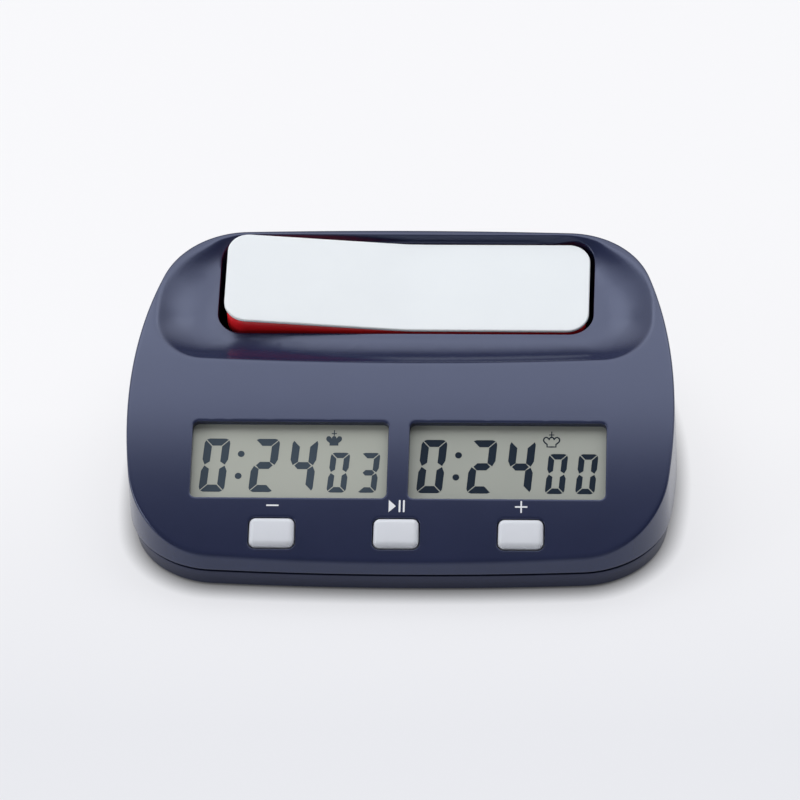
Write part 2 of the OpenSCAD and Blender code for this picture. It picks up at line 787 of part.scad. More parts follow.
module tact_case(x) {
    color(black) in_panel() translate([x, key_s, 0]) difference() {
        block(-tact_w / 2, tact_w / 2, -tact_w / 2, tact_w / 2, board_top, tact_top);
        post([0, 0], plunger_r + plunger_gap, tact_top - plunger_tail - key_travel - 0.1, tact_top + 1);
    }
}
module minus_switch() {
    tact_case(key_place[0]);
}
module pause_switch() {
    tact_case(key_place[1]);
}
module plus_switch() {
    tact_case(key_place[2]);
}

module tact_plunger(x) {
    color(pale_grey) in_panel() translate([x, key_s, 0])
        post([0, 0], plunger_r, tact_top - plunger_tail, key_stem_low);
}
module minus_plunger() {
    tact_plunger(key_place[0]);
}
module pause_plunger() {
    tact_plunger(key_place[1]);
}
module plus_plunger() {
    tact_plunger(key_place[2]);
}

module controller_blob() {
    color(black) in_panel() translate([0, blob_s, board_low]) rotate([180, 0, 0]) rotate_extrude()
        polygon([[0, 0], [blob_r, 0], [blob_r * 0.9, blob_h / 2], [blob_r * 0.6, blob_h * 0.9], [0, blob_h]]);
}

module quartz_crystal() {
    color(steel) in_panel() translate([crystal_x, 0, board_low - crystal_r]) rod_y(crystal_r, 0, crystal_l);
}

module buzzer() {
    color(black) in_panel() difference() {
        post(buzzer_at, buzzer_r, board_low - buzzer_h, board_low);
        post(buzzer_at, buzzer_hole_r, board_low - buzzer_h - 1, board_low - buzzer_h + buzzer_hole_depth);
    }
}

module battery() {
    color(steel) translate([0, bay_y, cell_z]) {
        rod_x(cell_r, cell_end, cell_tip - cell_nub_l);
        rod_x(cell_nub_r, cell_tip - cell_nub_l - eps, cell_tip);
    }
}

// Contact plate with a tab through the bay's roof
module contact_plate(x) {
    block(x - plate_t / 2, x + plate_t / 2, bay_y - plate_hw, bay_y + plate_hw, cell_z - plate_hw,
        cell_z + plate_hw);
    block(x - plate_t / 2, x + plate_t / 2, bay_y - tab_hw, bay_y + tab_hw,
        cell_z + plate_hw - tab_lap, tab_top);
}

module battery_spring() {
    start = -bay_hl + plate_t + spring_wire_r - spring_weld;
    end = cell_end - spring_wire_r - spring_gap;
    steps = spring_turns * 14;
    taper = spring_wide - spring_narrow;
    path = [for (i = [0:steps]) let (t = i / steps, a = 360 * spring_turns * t, r = spring_wide - taper * t)
        [start + (end - start) * t, bay_y + r * cos(a), cell_z + r * sin(a)]];
    color(steel) {
        contact_plate(-bay_hl + plate_t / 2);
        wire(path, spring_wire_r, [1, 0, 0], 6);
    }
}

module battery_plate() {
    color(steel) contact_plate(bay_hl - plate_t / 2);
}

module battery_door() {
    hw = bay_hl - door_gap;
    color(navy) translate([0, hinge_y, hinge_z]) {
        block(-hw, hw, bay_y - bay_hd + door_gap - hinge_y, 0, -hinge_r, door_t - hinge_r);
        rod_x(hinge_r, -hw, hw);
        rod_x(hinge_pin_r, -bay_hl - bay_wall + hinge_pin_room, bay_hl + bay_wall - hinge_pin_room);
        for (i = [0:3]) translate([0, bay_y - bay_hd - hinge_y + 2 * grip_w * (i + 1), -hinge_r])
            block(-grip_hl, grip_hl, -grip_w / 2, grip_w / 2, -grip_h, eps);
    }
}

module power_switch_case() {
    hw = power_head_hw + power_travel / 2 + power_gap;
    hd = power_head_hd + power_gap;
    color(black) translate([power_at.x, power_at.y, 0]) difference() {
        block(-hw - power_end, hw + power_end, -hd - power_side, hd + power_side, floor_z,
            floor_z + power_case_h);
        block(-hw, hw, -hd, hd, floor_z - 1, floor_z + power_head_t + 2 * power_gap);
    }
}

module power_switch_knob() {
    color(pale_grey) translate([power_at.x - power_travel / 2, power_at.y, 0]) {
        block(-power_head_hw, power_head_hw, -power_head_hd, power_head_hd, floor_z + power_gap,
            floor_z + power_gap + power_head_t);
        block(-power_knob_hw, power_knob_hw, -power_knob_hd, power_knob_hd, foot_h + power_gap,
            floor_z + power_gap + eps);
    }
}

module foot(x, f) {
    color(black) translate([x * f.x, f.y, 0]) rotate_extrude() polygon([[0, 0], [foot_r - foot_chamfer, 0],
        [foot_r, foot_chamfer], [foot_r, foot_h + foot_recess], [0, foot_h + foot_recess]]);
}
module foot_front_left() {
    foot(-1, foot_front);
}
module foot_front_right() {
    foot(1, foot_front);
}
module foot_back_left() {
    foot(-1, foot_back);
}
module foot_back_right() {
    foot(1, foot_back);
}

module housing_screws() {
    color(steel) for (p = screw_spots) difference() {
        union() {
            post(p, screw_head_r, seat_z - screw_head_h, seat_z);
            post(p, screw_r, seat_z - eps, seat_z + screw_l - screw_end_room);
        }
        translate([p.x, p.y, seat_z - screw_head_h]) {
            cube([drive_l, drive_w, 2 * drive_d], center = true);
            cube([drive_w, drive_l, 2 * drive_d], center = true);
        }
    }
}

// Wires from the battery contacts to pads under the main board
module battery_wire(side) {
    start = [side * (bay_hl - plate_t / 2), bay_y, tab_top + wire_gap];
    pad = panel_pt([side * pad_x, pad_s, board_low - wire_gap]);
    path = [start, start + [0, 0, wire_bend / 2], [side * pad_x, bay_y - wire_bend, bay_top + wire_r],
        [side * pad_x, pad.y + 2 * wire_bend, pad.z - wire_bend],
        panel_pt([side * pad_x, pad_s, board_low - wire_bend]), pad];
    wire(smooth(path, 4), wire_r, [side, 1, 0], 8);
}
module battery_wire_red() {
    color(red) battery_wire(1);
}
module battery_wire_black() {
    color(black) battery_wire(-1);
}

module rocker_cable() {
    start_u = rboard_front + 1.5 * cable_r;
    end_s = board_back - 1.4 * cable_r;
    foot = [for (k = [0:2]) slot_pt([0, start_u, toggle_low + wire_gap + k * wire_bend / 2])];
    head = [for (k = [2:-1:0]) panel_pt([cable_x, end_s, board_top + wire_gap + k * wire_bend / 3])];
    over = [[0, bay_y + bay_hd + bay_wall + cable_r, bay_top + 1.5 * cable_r],
        [cable_x / 2, bay_y, bay_top + wire_bend],
        [cable_x, bay_y - bay_hd, bay_top + wire_bend + cable_r]];
    path = concat(foot, over, head);
    color(pale_grey) wire(smooth(path, 4), cable_r, [1, 0, 0], 8);
}

upper_shell();
lower_shell();
rocker_cap();
rocker_skirt();
rocker_pin();
toggle_switch_case();
toggle_switch_slider();
rocker_board();
rocker_board_screws();
main_board();
main_board_screws();
lcd_left();
lcd_right();
lcd_connector_left();
lcd_connector_right();
minus_button();
pause_button();
plus_button();
minus_switch();
pause_switch();
plus_switch();
minus_plunger();
pause_plunger();
plus_plunger();
controller_blob();
quartz_crystal();
buzzer();
battery();
battery_spring();
battery_plate();
battery_door();
power_switch_case();
power_switch_knob();
foot_front_left();
foot_front_right();
foot_back_left();
foot_back_right();
housing_screws();
battery_wire_red();
battery_wire_black();
rocker_cable();
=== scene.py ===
import bpy
import bmesh
import json
import numpy as np
from math import asin, atan2, cos, hypot, pi, radians, sin, sqrt, tan
from mathutils import Matrix, Quaternion, Vector, kdtree
from mathutils.geometry import delaunay_2d_cdt


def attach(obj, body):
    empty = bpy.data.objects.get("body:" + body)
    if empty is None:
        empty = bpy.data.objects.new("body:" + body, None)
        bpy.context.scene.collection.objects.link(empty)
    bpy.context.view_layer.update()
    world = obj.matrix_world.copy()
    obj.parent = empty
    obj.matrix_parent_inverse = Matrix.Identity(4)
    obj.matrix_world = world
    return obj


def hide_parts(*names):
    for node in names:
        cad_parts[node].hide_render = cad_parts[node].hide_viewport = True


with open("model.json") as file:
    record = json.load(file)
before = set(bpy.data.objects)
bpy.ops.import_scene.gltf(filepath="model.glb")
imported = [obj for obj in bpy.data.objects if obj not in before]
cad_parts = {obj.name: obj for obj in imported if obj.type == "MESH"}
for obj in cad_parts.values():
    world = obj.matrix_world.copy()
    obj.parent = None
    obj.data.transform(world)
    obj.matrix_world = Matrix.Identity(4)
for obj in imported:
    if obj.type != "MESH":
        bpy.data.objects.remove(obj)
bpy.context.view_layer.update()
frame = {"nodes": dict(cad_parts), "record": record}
mm = 0.001  # every size below is in millimetres
scene = bpy.context.scene
print("frame loaded,", len(frame["nodes"]), "nodes")

# camera, at the photograph's angle through a long lens
cameraSpot = {"elevation": 43.589, "azimuth": 5.153, "roll": -3.228, "distance": 1500.0, "lens": 246.31,
              "sensor": 36.0, "aim": (-0.857, 1.504, 22.859)}


def newObject(name, data):
    obj = bpy.data.objects.new(name, data)
    scene.collection.objects.link(obj)
    return obj


def addCamera(spot):
    e, a = radians(spot["elevation"]), radians(spot["azimuth"])
    away = Vector((sin(a) * cos(e), -cos(a) * cos(e), sin(e)))
    data = bpy.data.cameras.new("photoCamera")
    data.lens = spot["lens"]
    data.sensor_width = spot["sensor"]
    camera = newObject("photoCamera", data)
    camera.location = (Vector(spot["aim"]) + away * spot["distance"]) * mm
    turn = (-away).to_track_quat("-Z", "Y") @ Quaternion((0, 0, 1), radians(spot["roll"]))
    camera.rotation_euler = turn.to_euler()
    scene.camera = camera


addCamera(cameraSpot)
scene.view_settings.view_transform = "Standard"


# node helpers
def fill(node, values):
    for key, value in values.items():
        if isinstance(value, bpy.types.NodeSocket):
            node.id_data.links.new(value, node.inputs[key])
        else:
            node.inputs[key].default_value = value


def addNode(tree, kind, values=None, output=0):
    node = tree.nodes.new(kind)
    fill(node, values or {})
    return node.outputs[output]


def sums(tree, kind, *terms):
    node = tree.nodes.new("ShaderNodeMath")
    node.operation = kind
    fill(node, dict(enumerate(terms)))
    return node.outputs["Value"]


def triple(tree, x, y, z):
    values = {key: v for key, v in (("X", x), ("Y", y), ("Z", z)) if v is not None}
    return addNode(tree, "ShaderNodeCombineXYZ", values)


def ramp(tree, value, stops):
    tone = addNode(tree, "ShaderNodeValToRGB", {"Fac": value}, "Color")
    marks = tone.node.color_ramp.elements
    while len(marks) < len(stops):
        marks.new(0.5)
    for mark, (at, color) in zip(marks, stops):
        mark.position, mark.color = at, (*color, 1.0)
    return tone


# materials: two close colours mixed by a soft noise, a fine grain in gloss and relief
plastic = {"cloudDetail": 4.0, "cloudRun": (0.3, 0.7), "grainDetail": 2.0, "grainDepth": 0.0002}


def moulded(name, dark, light, rough, mottle=60.0, grain=2600.0, relief=0.05, **sockets):
    mat = bpy.data.materials.new(name)
    mat.use_nodes = True
    tree, p = mat.node_tree, plastic
    spot = addNode(tree, "ShaderNodeTexCoord", output="Object")
    noise = [{"Vector": spot, "Scale": mottle, "Detail": p["cloudDetail"]},
             {"Vector": spot, "Scale": grain, "Detail": p["grainDetail"]}]
    cloud, fine = [addNode(tree, "ShaderNodeTexNoise", values, "Fac") for values in noise]
    color = ramp(tree, cloud, list(zip(p["cloudRun"], (dark, light))))
    gloss = {"Value": fine, "To Min": rough[0], "To Max": rough[1]}
    bump = {"Height": fine, "Strength": relief, "Distance": p["grainDepth"]}
    fill(tree.nodes["Principled BSDF"],
         {"Base Color": color, "Roughness": addNode(tree, "ShaderNodeMapRange", gloss, "Result"),
          "Normal": addNode(tree, "ShaderNodeBump", bump, "Normal"), **sockets})
    return mat


def spec(level, tint=(1.0, 1.0, 1.0)):
    return {"Specular IOR Level": level, "Specular Tint": (*tint, 1.0)}


glass = {"rough": (0.18, 0.24), "mottle": 35.0, "relief": 0.01, **spec(0.25)}
ink = {"rough": (0.25, 0.35), "relief": 0.0}
finishes = {
    "navy_plastic": moulded("navySatin", (0.0122, 0.0166, 0.049), (0.0146, 0.0192, 0.055), (0.18, 0.24),
                            grain=2200.0, relief=0.03, **spec(0.72, (0.66, 0.74, 1.0))),
    "white_plastic": moulded("capWhite", (0.79, 0.832, 0.856), (0.808, 0.85, 0.874), (0.42, 0.52),
                             relief=0.04),
    "red_plastic": moulded("skirtRed", (0.9, 0.014, 0.022), (0.94, 0.02, 0.028), (0.28, 0.36), relief=0.03),
    "key_plastic": moulded("keyGrey", (0.64, 0.665, 0.715), (0.665, 0.69, 0.74), (0.36, 0.46), relief=0.04),
    "display": moulded("displayGlass", (0.408, 0.428, 0.38), (0.434, 0.452, 0.404), **glass),
    "display_strip": moulded("stripRubber", (0.52, 0.53, 0.54), (0.6, 0.61, 0.62), (0.6, 0.75)),
    "circuit_board": moulded("boardGreen", (0.012, 0.09, 0.04), (0.02, 0.13, 0.06), (0.3, 0.45),
                             mottle=180.0),
    "steel": moulded("plainSteel", (0.56, 0.57, 0.58), (0.64, 0.645, 0.65), (0.24, 0.38), grain=3200.0,
                     **{"Metallic": 1.0}),
    "black_plastic": moulded("blackPlastic", (0.012, 0.012, 0.014), (0.022, 0.022, 0.024), (0.35, 0.5)),
    "switch_plastic": moulded("switchGrey", (0.5, 0.51, 0.53), (0.56, 0.57, 0.59), (0.4, 0.5)),
    "battery_case": moulded("cellWrap", (0.34, 0.345, 0.355), (0.42, 0.425, 0.435), (0.22, 0.32),
                            **{"Metallic": 0.8}),
    "foot_rubber": moulded("footRubber", (0.016, 0.016, 0.017), (0.03, 0.03, 0.031), (0.65, 0.85),
                           grain=1600.0, relief=0.25),
    "red_wire": moulded("wireRed", (0.48, 0.01, 0.01), (0.56, 0.018, 0.014), (0.35, 0.5)),
    "black_wire": moulded("wireBlack", (0.012, 0.012, 0.012), (0.024, 0.024, 0.024), (0.35, 0.5)),
    "grey_wire": moulded("wireGrey", (0.38, 0.385, 0.39), (0.45, 0.455, 0.46), (0.4, 0.55)),
}
baseSatin = moulded("baseSatin", (0.0125, 0.0165, 0.04), (0.0148, 0.019, 0.045), (0.3, 0.38),
                    grain=2200.0, relief=0.05, **spec(0.5, (0.7, 0.74, 1.0)))
# one ink in two copies, lighter on the left display and darker on the right: painted light and shade
segmentInk = {"Left": moulded("inkPaintedLightLeft", (0.038, 0.056, 0.077), (0.047, 0.067, 0.091), **ink, **spec(0.15)),
              "Right": moulded("inkPaintedShadeRight", (0.007, 0.015, 0.029), (0.011, 0.021, 0.037), **ink, **spec(0.1))}
# the right display's glass is a darker copy of the left one's colour: painted shade, for light falling from
# the left
cellGlass = {"Left": finishes["display"],
             "Right": moulded("displayPaintedShade", (0.352, 0.372, 0.334), (0.376, 0.394, 0.356), **glass)}
printWhite = moulded("printWhite", (0.8, 0.82, 0.86), (0.84, 0.86, 0.89), (0.4, 0.5))
print("materials made:", len(finishes) + 5)


# mesh helpers: loops are plan outlines, rings are loops with a height, bands join rings
def columns(*rows):
    return np.stack(rows, 1)


def roundedLoop(hw, hd, r, corner, along, across):
    a = np.linspace(0.0, pi / 2, corner + 1)
    marks = []
    for quarter, (sx, sy) in enumerate(((1, 1), (-1, 1), (-1, -1), (1, -1))):
        turn = a + quarter * pi / 2
        arc = columns(sx * (hw - r) + r * np.cos(turn), sy * (hd - r) + r * np.sin(turn))
        count = along if quarter % 2 == 0 else across
        nxt = ((-(hw - r), hd), (-hw, -(hd - r)), (hw - r, -hd), (hw, hd - r))[quarter]
        f = np.linspace(0.0, 1.0, count + 1)[1:-1, None]
        marks += [arc, arc[-1] + (np.array(nxt) - arc[-1]) * f]
    return np.concatenate(marks)


def circleLoop(cx, cy, r, count):
    a = np.arange(count) * 2 * pi / count
    return columns(cx + r * np.cos(a), cy + r * np.sin(a))


def roundedGap(x, y, hw, hd, r):
    qx, qy = np.abs(x) - hw + r, np.abs(y) - hd + r
    return np.hypot(np.maximum(qx, 0), np.maximum(qy, 0)) + np.minimum(np.maximum(qx, qy), 0) - r


def insideLoop(px, py, loop):
    inside = np.zeros(len(px), bool)
    ends = np.roll(loop, -1, 0)
    for (ax, ay), (bx, by) in zip(loop, ends):
        if ay == by:
            continue
        hit = (ay > py) != (by > py)
        inside ^= hit & (px < ax + (py - ay) * (bx - ax) / (by - ay))
    return inside


def within(x, y, boundary, holes):
    keep = insideLoop(x, y, boundary)
    for hole in holes:
        keep &= ~insideLoop(x, y, hole)
    return keep


def sheet(boundary, holes, creases, step, heightAt, flip=False, spare=0.62, rowPitch=0.87):
    spots, edges = [], []
    for loop, closed in [(boundary, True)] + [(h, True) for h in holes] + creases:
        start = len(spots)
        spots += [tuple(p) for p in loop]
        edges += [(start + i, start + i + 1) for i in range(len(loop) - 1)]
        if closed:
            edges.append((start + len(loop) - 1, start))
    tree = kdtree.KDTree(len(spots))
    for i, p in enumerate(spots):
        tree.insert((p[0], p[1], 0.0), i)
    tree.balance()
    low, high = boundary.min(0), boundary.max(0)
    gx, gy = np.meshgrid(np.arange(low[0], high[0], step), np.arange(low[1], high[1], step * rowPitch))
    gx = gx + (np.arange(gx.shape[0]) % 2)[:, None] * step / 2
    gx, gy = gx.ravel(), gy.ravel()
    keep = within(gx, gy, boundary, holes)
    spots += [(x, y) for x, y in zip(gx[keep], gy[keep]) if tree.find((x, y, 0.0))[2] > spare * step]
    made = delaunay_2d_cdt([Vector(p) for p in spots], edges, [], 0, 1e-6, False)
    flat = np.array([tuple(v) for v in made[0]])
    tris = np.array(made[2])
    mid = flat[tris].mean(1)
    tris = tris[within(*mid.T, boundary, holes)]
    a, b, c = flat[tris.T]
    (bx, by), (cx, cy) = (b - a).T, (c - a).T
    wrong = (bx * cy - by * cx < 0) != flip
    tris[wrong] = tris[wrong][:, ::-1]
    return np.column_stack([flat, heightAt(*flat.T)]), tris.tolist()


def band(*rings):
    n = len(rings[0])
    faces = []
    for k in range(len(rings) - 1):
        for i in range(n):
            j = (i + 1) % n
            faces.append((k * n + i, k * n + j, (k + 1) * n + j, (k + 1) * n + i))
    return np.concatenate(rings), faces


def lifted(loop, z):
    return np.column_stack([loop, np.full(len(loop), z)])


def roll(r, turns):
    return [(abs(r) * (1 - cos(a)), -r * (1 - sin(a))) for a in (radians(turn) for turn in turns)]


def rounded(ringOf, inset, z, r, turns):
    return [lifted(ringOf(inset + step), z + up) for step, up in roll(r, turns)]


def cover(loop, z):
    return lifted(loop, z), [list(range(len(loop)))[::-1]]


def closed(rings):
    order = list(range(len(rings[0])))
    return [band(*rings), (rings[0], [order[::-1]]), (rings[-1], [order])]


def level(z):
    return lambda x, y: np.full(len(x), z)


def makeMesh(name, parts, place=None, split=False):
    bm = bmesh.new()
    for spots, faces in parts:
        made = [bm.verts.new(Vector(p) * mm) for p in np.asarray(spots).tolist()]
        for face in faces:
            bm.faces.new([made[i] for i in face])
    bmesh.ops.remove_doubles(bm, verts=bm.verts, dist=2e-6)
    loose = [v for v in bm.verts if not v.link_faces]
    bmesh.ops.delete(bm, geom=loose, context="VERTS")
    if split:
        bmesh.ops.triangulate(bm, faces=bm.faces)
    mesh = bpy.data.meshes.new(name)
    bm.to_mesh(mesh)
    bm.free()
    mesh.shade_smooth()
    if place is not None:
        mesh.transform(place)
    return mesh


def flatShaded(mesh, angle=35.0):
    mesh.shade_smooth()
    mesh.set_sharp_from_angle(angle=radians(angle))
    return mesh


def addPiece(name, mesh, slotName, body, nodes=(), material=None):
    obj = newObject(name, mesh)
    mesh.materials.clear()
    mesh.materials.append(material or finishes[slotName])
    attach(obj, body)
    if nodes:
        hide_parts(*nodes)


# housing outline and face
housing = {"width": 150.0, "depth": 101.0, "footH": 0.8, "baseH": 6.4, "frontH": 4.5, "frontSlope": 29.8,
           "faceR": 235.0, "wall": 2.2, "draft": 1.2, "edgeR": 0.7, "reveal": 0.5, "frontCorner": 25.0,
           "backCorner": 25.0, "sideBow": 127.0, "frontBow": 900.0, "backBow": 1500.0, "widest": 9.0}
halfW, halfD = housing["width"] / 2, housing["depth"] / 2
midZ = housing["footH"] + housing["baseH"]
partZ, baseTop = midZ + housing["reveal"] / 2, midZ - housing["reveal"] / 2
slope0 = radians(housing["frontSlope"])
faceR, edgeR, draftTan = housing["faceR"], housing["edgeR"], tan(radians(housing["draft"]))
faceCy = -halfD + faceR * sin(slope0)
faceCz = midZ + housing["frontH"] - faceR * cos(slope0)


def faceZ(y):
    return faceCz + np.sqrt(faceR ** 2 - (y - faceCy) ** 2)


def meetPoint(a, ra, b, rb, side):
    dx, dy = b[0] - a[0], b[1] - a[1]
    d = hypot(dx, dy)
    ex, ey = dx / d, dy / d
    t = (d * d + ra * ra - rb * rb) / (2 * d)
    h = side * sqrt(ra * ra - t * t)
    return (a[0] + ex * t - ey * h, a[1] + ey * t + ex * h)


def outlineArcs(h):
    cf, cb = (0.0, -halfD + h["frontBow"]), (0.0, halfD - h["backBow"])
    cs = (halfW - h["sideBow"], -h["widest"])
    kf = meetPoint(cf, h["frontBow"] - h["frontCorner"], cs, h["sideBow"] - h["frontCorner"], 1)
    kb = meetPoint(cb, h["backBow"] - h["backCorner"], cs, h["sideBow"] - h["backCorner"], -1)
    meets = ((kf, cf), (kf, cs), (kb, cs), (kb, cb))
    turn = [-pi / 2, *(atan2(p[1] - q[1], p[0] - q[0]) for p, q in meets), pi / 2]
    radii = (h["frontBow"], h["frontCorner"], h["sideBow"], h["backCorner"], h["backBow"])
    return [(c, r, turn[i], turn[i + 1]) for i, (c, r) in enumerate(zip((cf, kf, cs, kb, cb), radii))]


bodyArcs = outlineArcs(housing)


def outlineChain(arcs, counts):
    rows = []
    for (c, r, a0, a1), n in zip(arcs, counts):
        rows += [(*c, r, a) for a in np.linspace(a0, a1, n + 1)[:-1]]
    rows.append((*c, r, pi / 2))
    right = np.array(rows)
    left = right[-2:0:-1] * (-1.0, 1.0, 1.0, 1.0)
    left[:, 3] = pi - left[:, 3]
    return np.concatenate([right, left])


bodyChain = outlineChain(bodyArcs, (24, 34, 28, 34, 24))


def ringAt(inset):
    x, y, r, turn = bodyChain.T
    return columns(x + (r - inset) * np.cos(turn), y + (r - inset) * np.sin(turn))


def bodyInset(x, y):
    x = np.abs(x)
    best = np.full(np.shape(x), 1e3)
    for (cx, cy), r, a0, a1 in bodyArcs:
        turn = np.arctan2(y - cy, x - cx)
        near = (turn >= a0 - 1e-9) & (turn <= a1 + 1e-9)
        best = np.where(near, np.minimum(best, r - np.hypot(x - cx, y - cy)), best)
    return best


def rimInset(y):
    return (faceZ(y) - partZ) * draftTan


def rollRing(q):
    inset = np.zeros(len(bodyChain))
    for _ in range(12):
        inset = rimInset(ringAt(inset)[:, 1]) + q
    return ringAt(inset)


# panel and slot frames on the face
panel = {"share": 0.2649, "window": (26.65, 11.2009, 1.6), "windowX": 29.55, "windowEdge": 0.35,
         "glassDepth": 2.9, "key": (6.4, 4.45, 2.0), "keyX": 33.6, "keyShare": 0.0743, "keyEdge": 0.35,
         "keyDepth": 2.4}
panelY = -halfD + panel["share"] * housing["depth"]
panelZ = float(faceZ(panelY))
panelTilt = asin((faceCy - panelY) / faceR)
panelMatrix = Matrix.Translation(Vector((0, panelY, panelZ)) * mm) @ Matrix.Rotation(panelTilt, 4, "X")


def panelN(s):
    return np.sqrt(faceR ** 2 - s * s) - faceR


def panelSpot(x, s, n):
    c, t = cos(panelTilt), sin(panelTilt)
    return columns(x + 0 * s, panelY + s * c - n * t, panelZ + s * t + n * c)


def onPanel(loop, up=0.0):
    return panelSpot(*loop.T, panelN(loop[:, 1]) + up)


def panelPlan(loop):
    return onPanel(loop)[:, :2]


def panelS(y):
    return -faceR * np.sin(np.arcsin((faceCy - y) / faceR) - panelTilt)


keyS = float(panelS(-halfD + panel["keyShare"] * housing["depth"]))
keyFace = float(panelN(keyS))
scoop = {"tilt": 12.0, "slot": (51.8, 15.2996, 6.7), "slotEdge": 0.2, "slotDepth": 6.0, "drop": 3.9,
         "back": 3.4, "bowl": (53.4, -16.0, 15.75, 9.0, 19.0), "rim": (68.1, -28.5, 16.0, 13.0, 26.0),
         "bow": (5000.0, 1100.0), "power": 1.5, "dip": 0.375, "dipRun": (4.0, 16.0), "dipPower": 0.5,
         "flank": 0.005, "flankRun": (50.5, 7.0), "climbRun": (-6.0, 20.0), "lipBlend": 0.5,
         "ridgeBlend": 0.7, "blendRun": (4.0, 9.0), "spread": 1.2, "farthest": 2.2, "halvings": 34,
         "creases": (0.0, 0.2, 0.38, 0.54, 0.68, 0.8, 0.88, 0.94, 0.98, 1.02, 1.06, 1.12, 1.2),
         "guards": (0.3, 0.6, 1.2), "guardBack": 6.0}
slotTilt = radians(scoop["tilt"])
slotCos = cos(slotTilt)
slotY = halfD - scoop["back"] - scoop["slot"][1] * slotCos
slotZ = float(faceZ(slotY)) - scoop["drop"]


def slotU(y):
    return (y - slotY) / slotCos


def scoopSizes(t):
    pairs = [a + (b - a) * t for a, b in zip(scoop["bowl"], scoop["rim"])]
    past = np.maximum(t - 1.0, 0.0)
    pairs[2] = pairs[2] + past * scoop["spread"]
    bow = 1 / scoop["bow"][0] + (1 / scoop["bow"][1] - 1 / scoop["bow"][0]) * t
    return (*pairs, bow)


def scoopGap(x, u, t):
    hw, front, back, rf, rb, bow = scoopSizes(t)
    x = np.abs(x)
    u = u - np.minimum(x, hw) ** 2 / 2 * bow * np.clip((back - u) / (back - front), 0, 1)
    plain = np.maximum(np.maximum(x - hw, u - back), front - u)
    backCorner = np.hypot(x - hw + rb, u - back + rb) - rb
    frontCorner = np.hypot(x - hw + rf, front + rf - u) - rf
    gap = np.where((x > hw - rb) & (u > back - rb), backCorner, plain)
    return np.where((x > hw - rf) & (u < front + rf), frontCorner, gap)


def slotPlane(y):
    return slotZ + (y - slotY) * tan(slotTilt)


def scoopZ(x, y):
    s = scoop
    u = slotU(y)
    low, high = np.zeros(np.shape(x)), np.full(np.shape(x), s["farthest"])
    for _ in range(s["halvings"]):
        mid = (low + high) / 2
        outside = scoopGap(x, u, mid) > 0
        low, high = np.where(outside, mid, low), np.where(outside, high, mid)
    t = (low + high) / 2
    front, back = scoopSizes(t)[1:3]
    reach = np.clip((u - front) / (back - front), 0, 1)
    rimY = slotY + (s["rim"][1] + reach * (s["rim"][2] - s["rim"][1])) * slotCos
    t = np.where(t < 1e-5, 0.0, t)
    # the floor dips a little before the front wall and climbs towards the back corners
    ahead = np.clip((s["dipRun"][0] - u) / s["dipRun"][1], 0, 1)
    dip = s["dip"] * ahead
    rise = (1 + dip) * t ** (s["power"] + s["dipPower"] * ahead) - dip * t
    flank = np.clip((np.abs(x) - s["flankRun"][0]) / s["flankRun"][1], 0, 1)
    behind = np.clip(u - s["climbRun"][0], 0, s["climbRun"][1])
    climb = s["flank"] / 2 * behind ** 2 * flank ** 2 * (3 - 2 * flank)
    return slotPlane(y) + (faceZ(rimY) - slotPlane(rimY)) * rise + climb


def scoopLoop(t, corner=16):
    hw, front, back, rf, rb, bow = [float(v) for v in scoopSizes(np.float64(t))]
    a = np.linspace(-pi / 2, 0, corner + 1)
    right = [columns(np.linspace(0, hw - rf, 26)[:-1], np.full(25, front)),
             columns(hw - rf + rf * np.cos(a), front + rf + rf * np.sin(a))]
    side = np.linspace(front + rf, back - rb, 7)[1:-1]
    right += [columns(np.full(5, hw), side),
              columns(hw - rb + rb * np.cos(a + pi / 2), back - rb + rb * np.sin(a + pi / 2)),
              columns(np.linspace(hw - rb, 0, 20)[1:], np.full(19, back))]
    half = np.concatenate(right)
    lean = np.clip((back - half[:, 1]) / (back - front), 0, 1)
    half[:, 1] += half[:, 0] ** 2 / 2 * bow * lean
    loop = np.concatenate([half, half[-2:0:-1] * (-1.0, 1.0)])
    loop[:, 1] = slotY + loop[:, 1] * slotCos
    return loop


def softMin(a, b, k):
    h = np.clip(0.5 + 0.5 * (b - a) / k, 0, 1)
    return b + (a - b) * h - k * h * (1 - h)


def edgeDrop(gap, r):
    s = np.clip(gap, 0, r)
    return r - np.sqrt(np.maximum(r * r - (r - s) ** 2, 0))


def windowGap(x, y):
    return roundedGap(np.abs(x) - panel["windowX"], panelS(y), *panel["window"])


def keyGap(x, y):
    places = [place * panel["keyX"] for place in (-1, 0, 1)]
    return np.minimum.reduce([roundedGap(x - cx, panelS(y) - keyS, *panel["key"]) for cx in places])


def topZ(x, y):
    s, u = scoop, slotU(y)
    rolled = faceZ(y) - edgeDrop(bodyInset(x, y) - rimInset(y), edgeR)
    near = np.clip((u - s["blendRun"][0]) / s["blendRun"][1], 0, 1)
    blend = s["lipBlend"] + (s["ridgeBlend"] - s["lipBlend"]) * near
    z = softMin(rolled, scoopZ(x, y), blend)
    z = z - edgeDrop(windowGap(x, y), panel["windowEdge"]) - edgeDrop(keyGap(x, y), panel["keyEdge"])
    return z - edgeDrop(roundedGap(x, u, *s["slot"]), s["slotEdge"])


def widened(sizes, out, *counts):
    return roundedLoop(*(v + out for v in sizes), *counts)


def windowLoop(side, out):
    return widened(panel["window"], out, 8, 22, 12) + (side * panel["windowX"], 0.0)


def keyLoop(place, out):
    return widened(panel["key"], out, 8, 8, 6) + (place * panel["keyX"], keyS)


def slotLoop(out):
    loop = widened(scoop["slot"], out, 14, 40, 10)
    return columns(loop[:, 0], slotY + loop[:, 1] * slotCos)


shell = {"rollTurns": (10, 20, 31, 43, 56, 70, 90), "rollGuard": 0.7, "edgeTurns": (14, 28, 44, 62, 90),
         "windowGuards": [0.8, 1.6], "windowBreak": 0.12, "glassGap": 0.02, "keyGuards": [0.7],
         "keyBreak": 0.15, "slotBreak": 0.15, "step": 1.6, "footR": 0.15, "footTurns": (90, 60, 30, 0),
         "lipH": 2.5, "wallLow": 0.7, "wallHigh": 0.3}


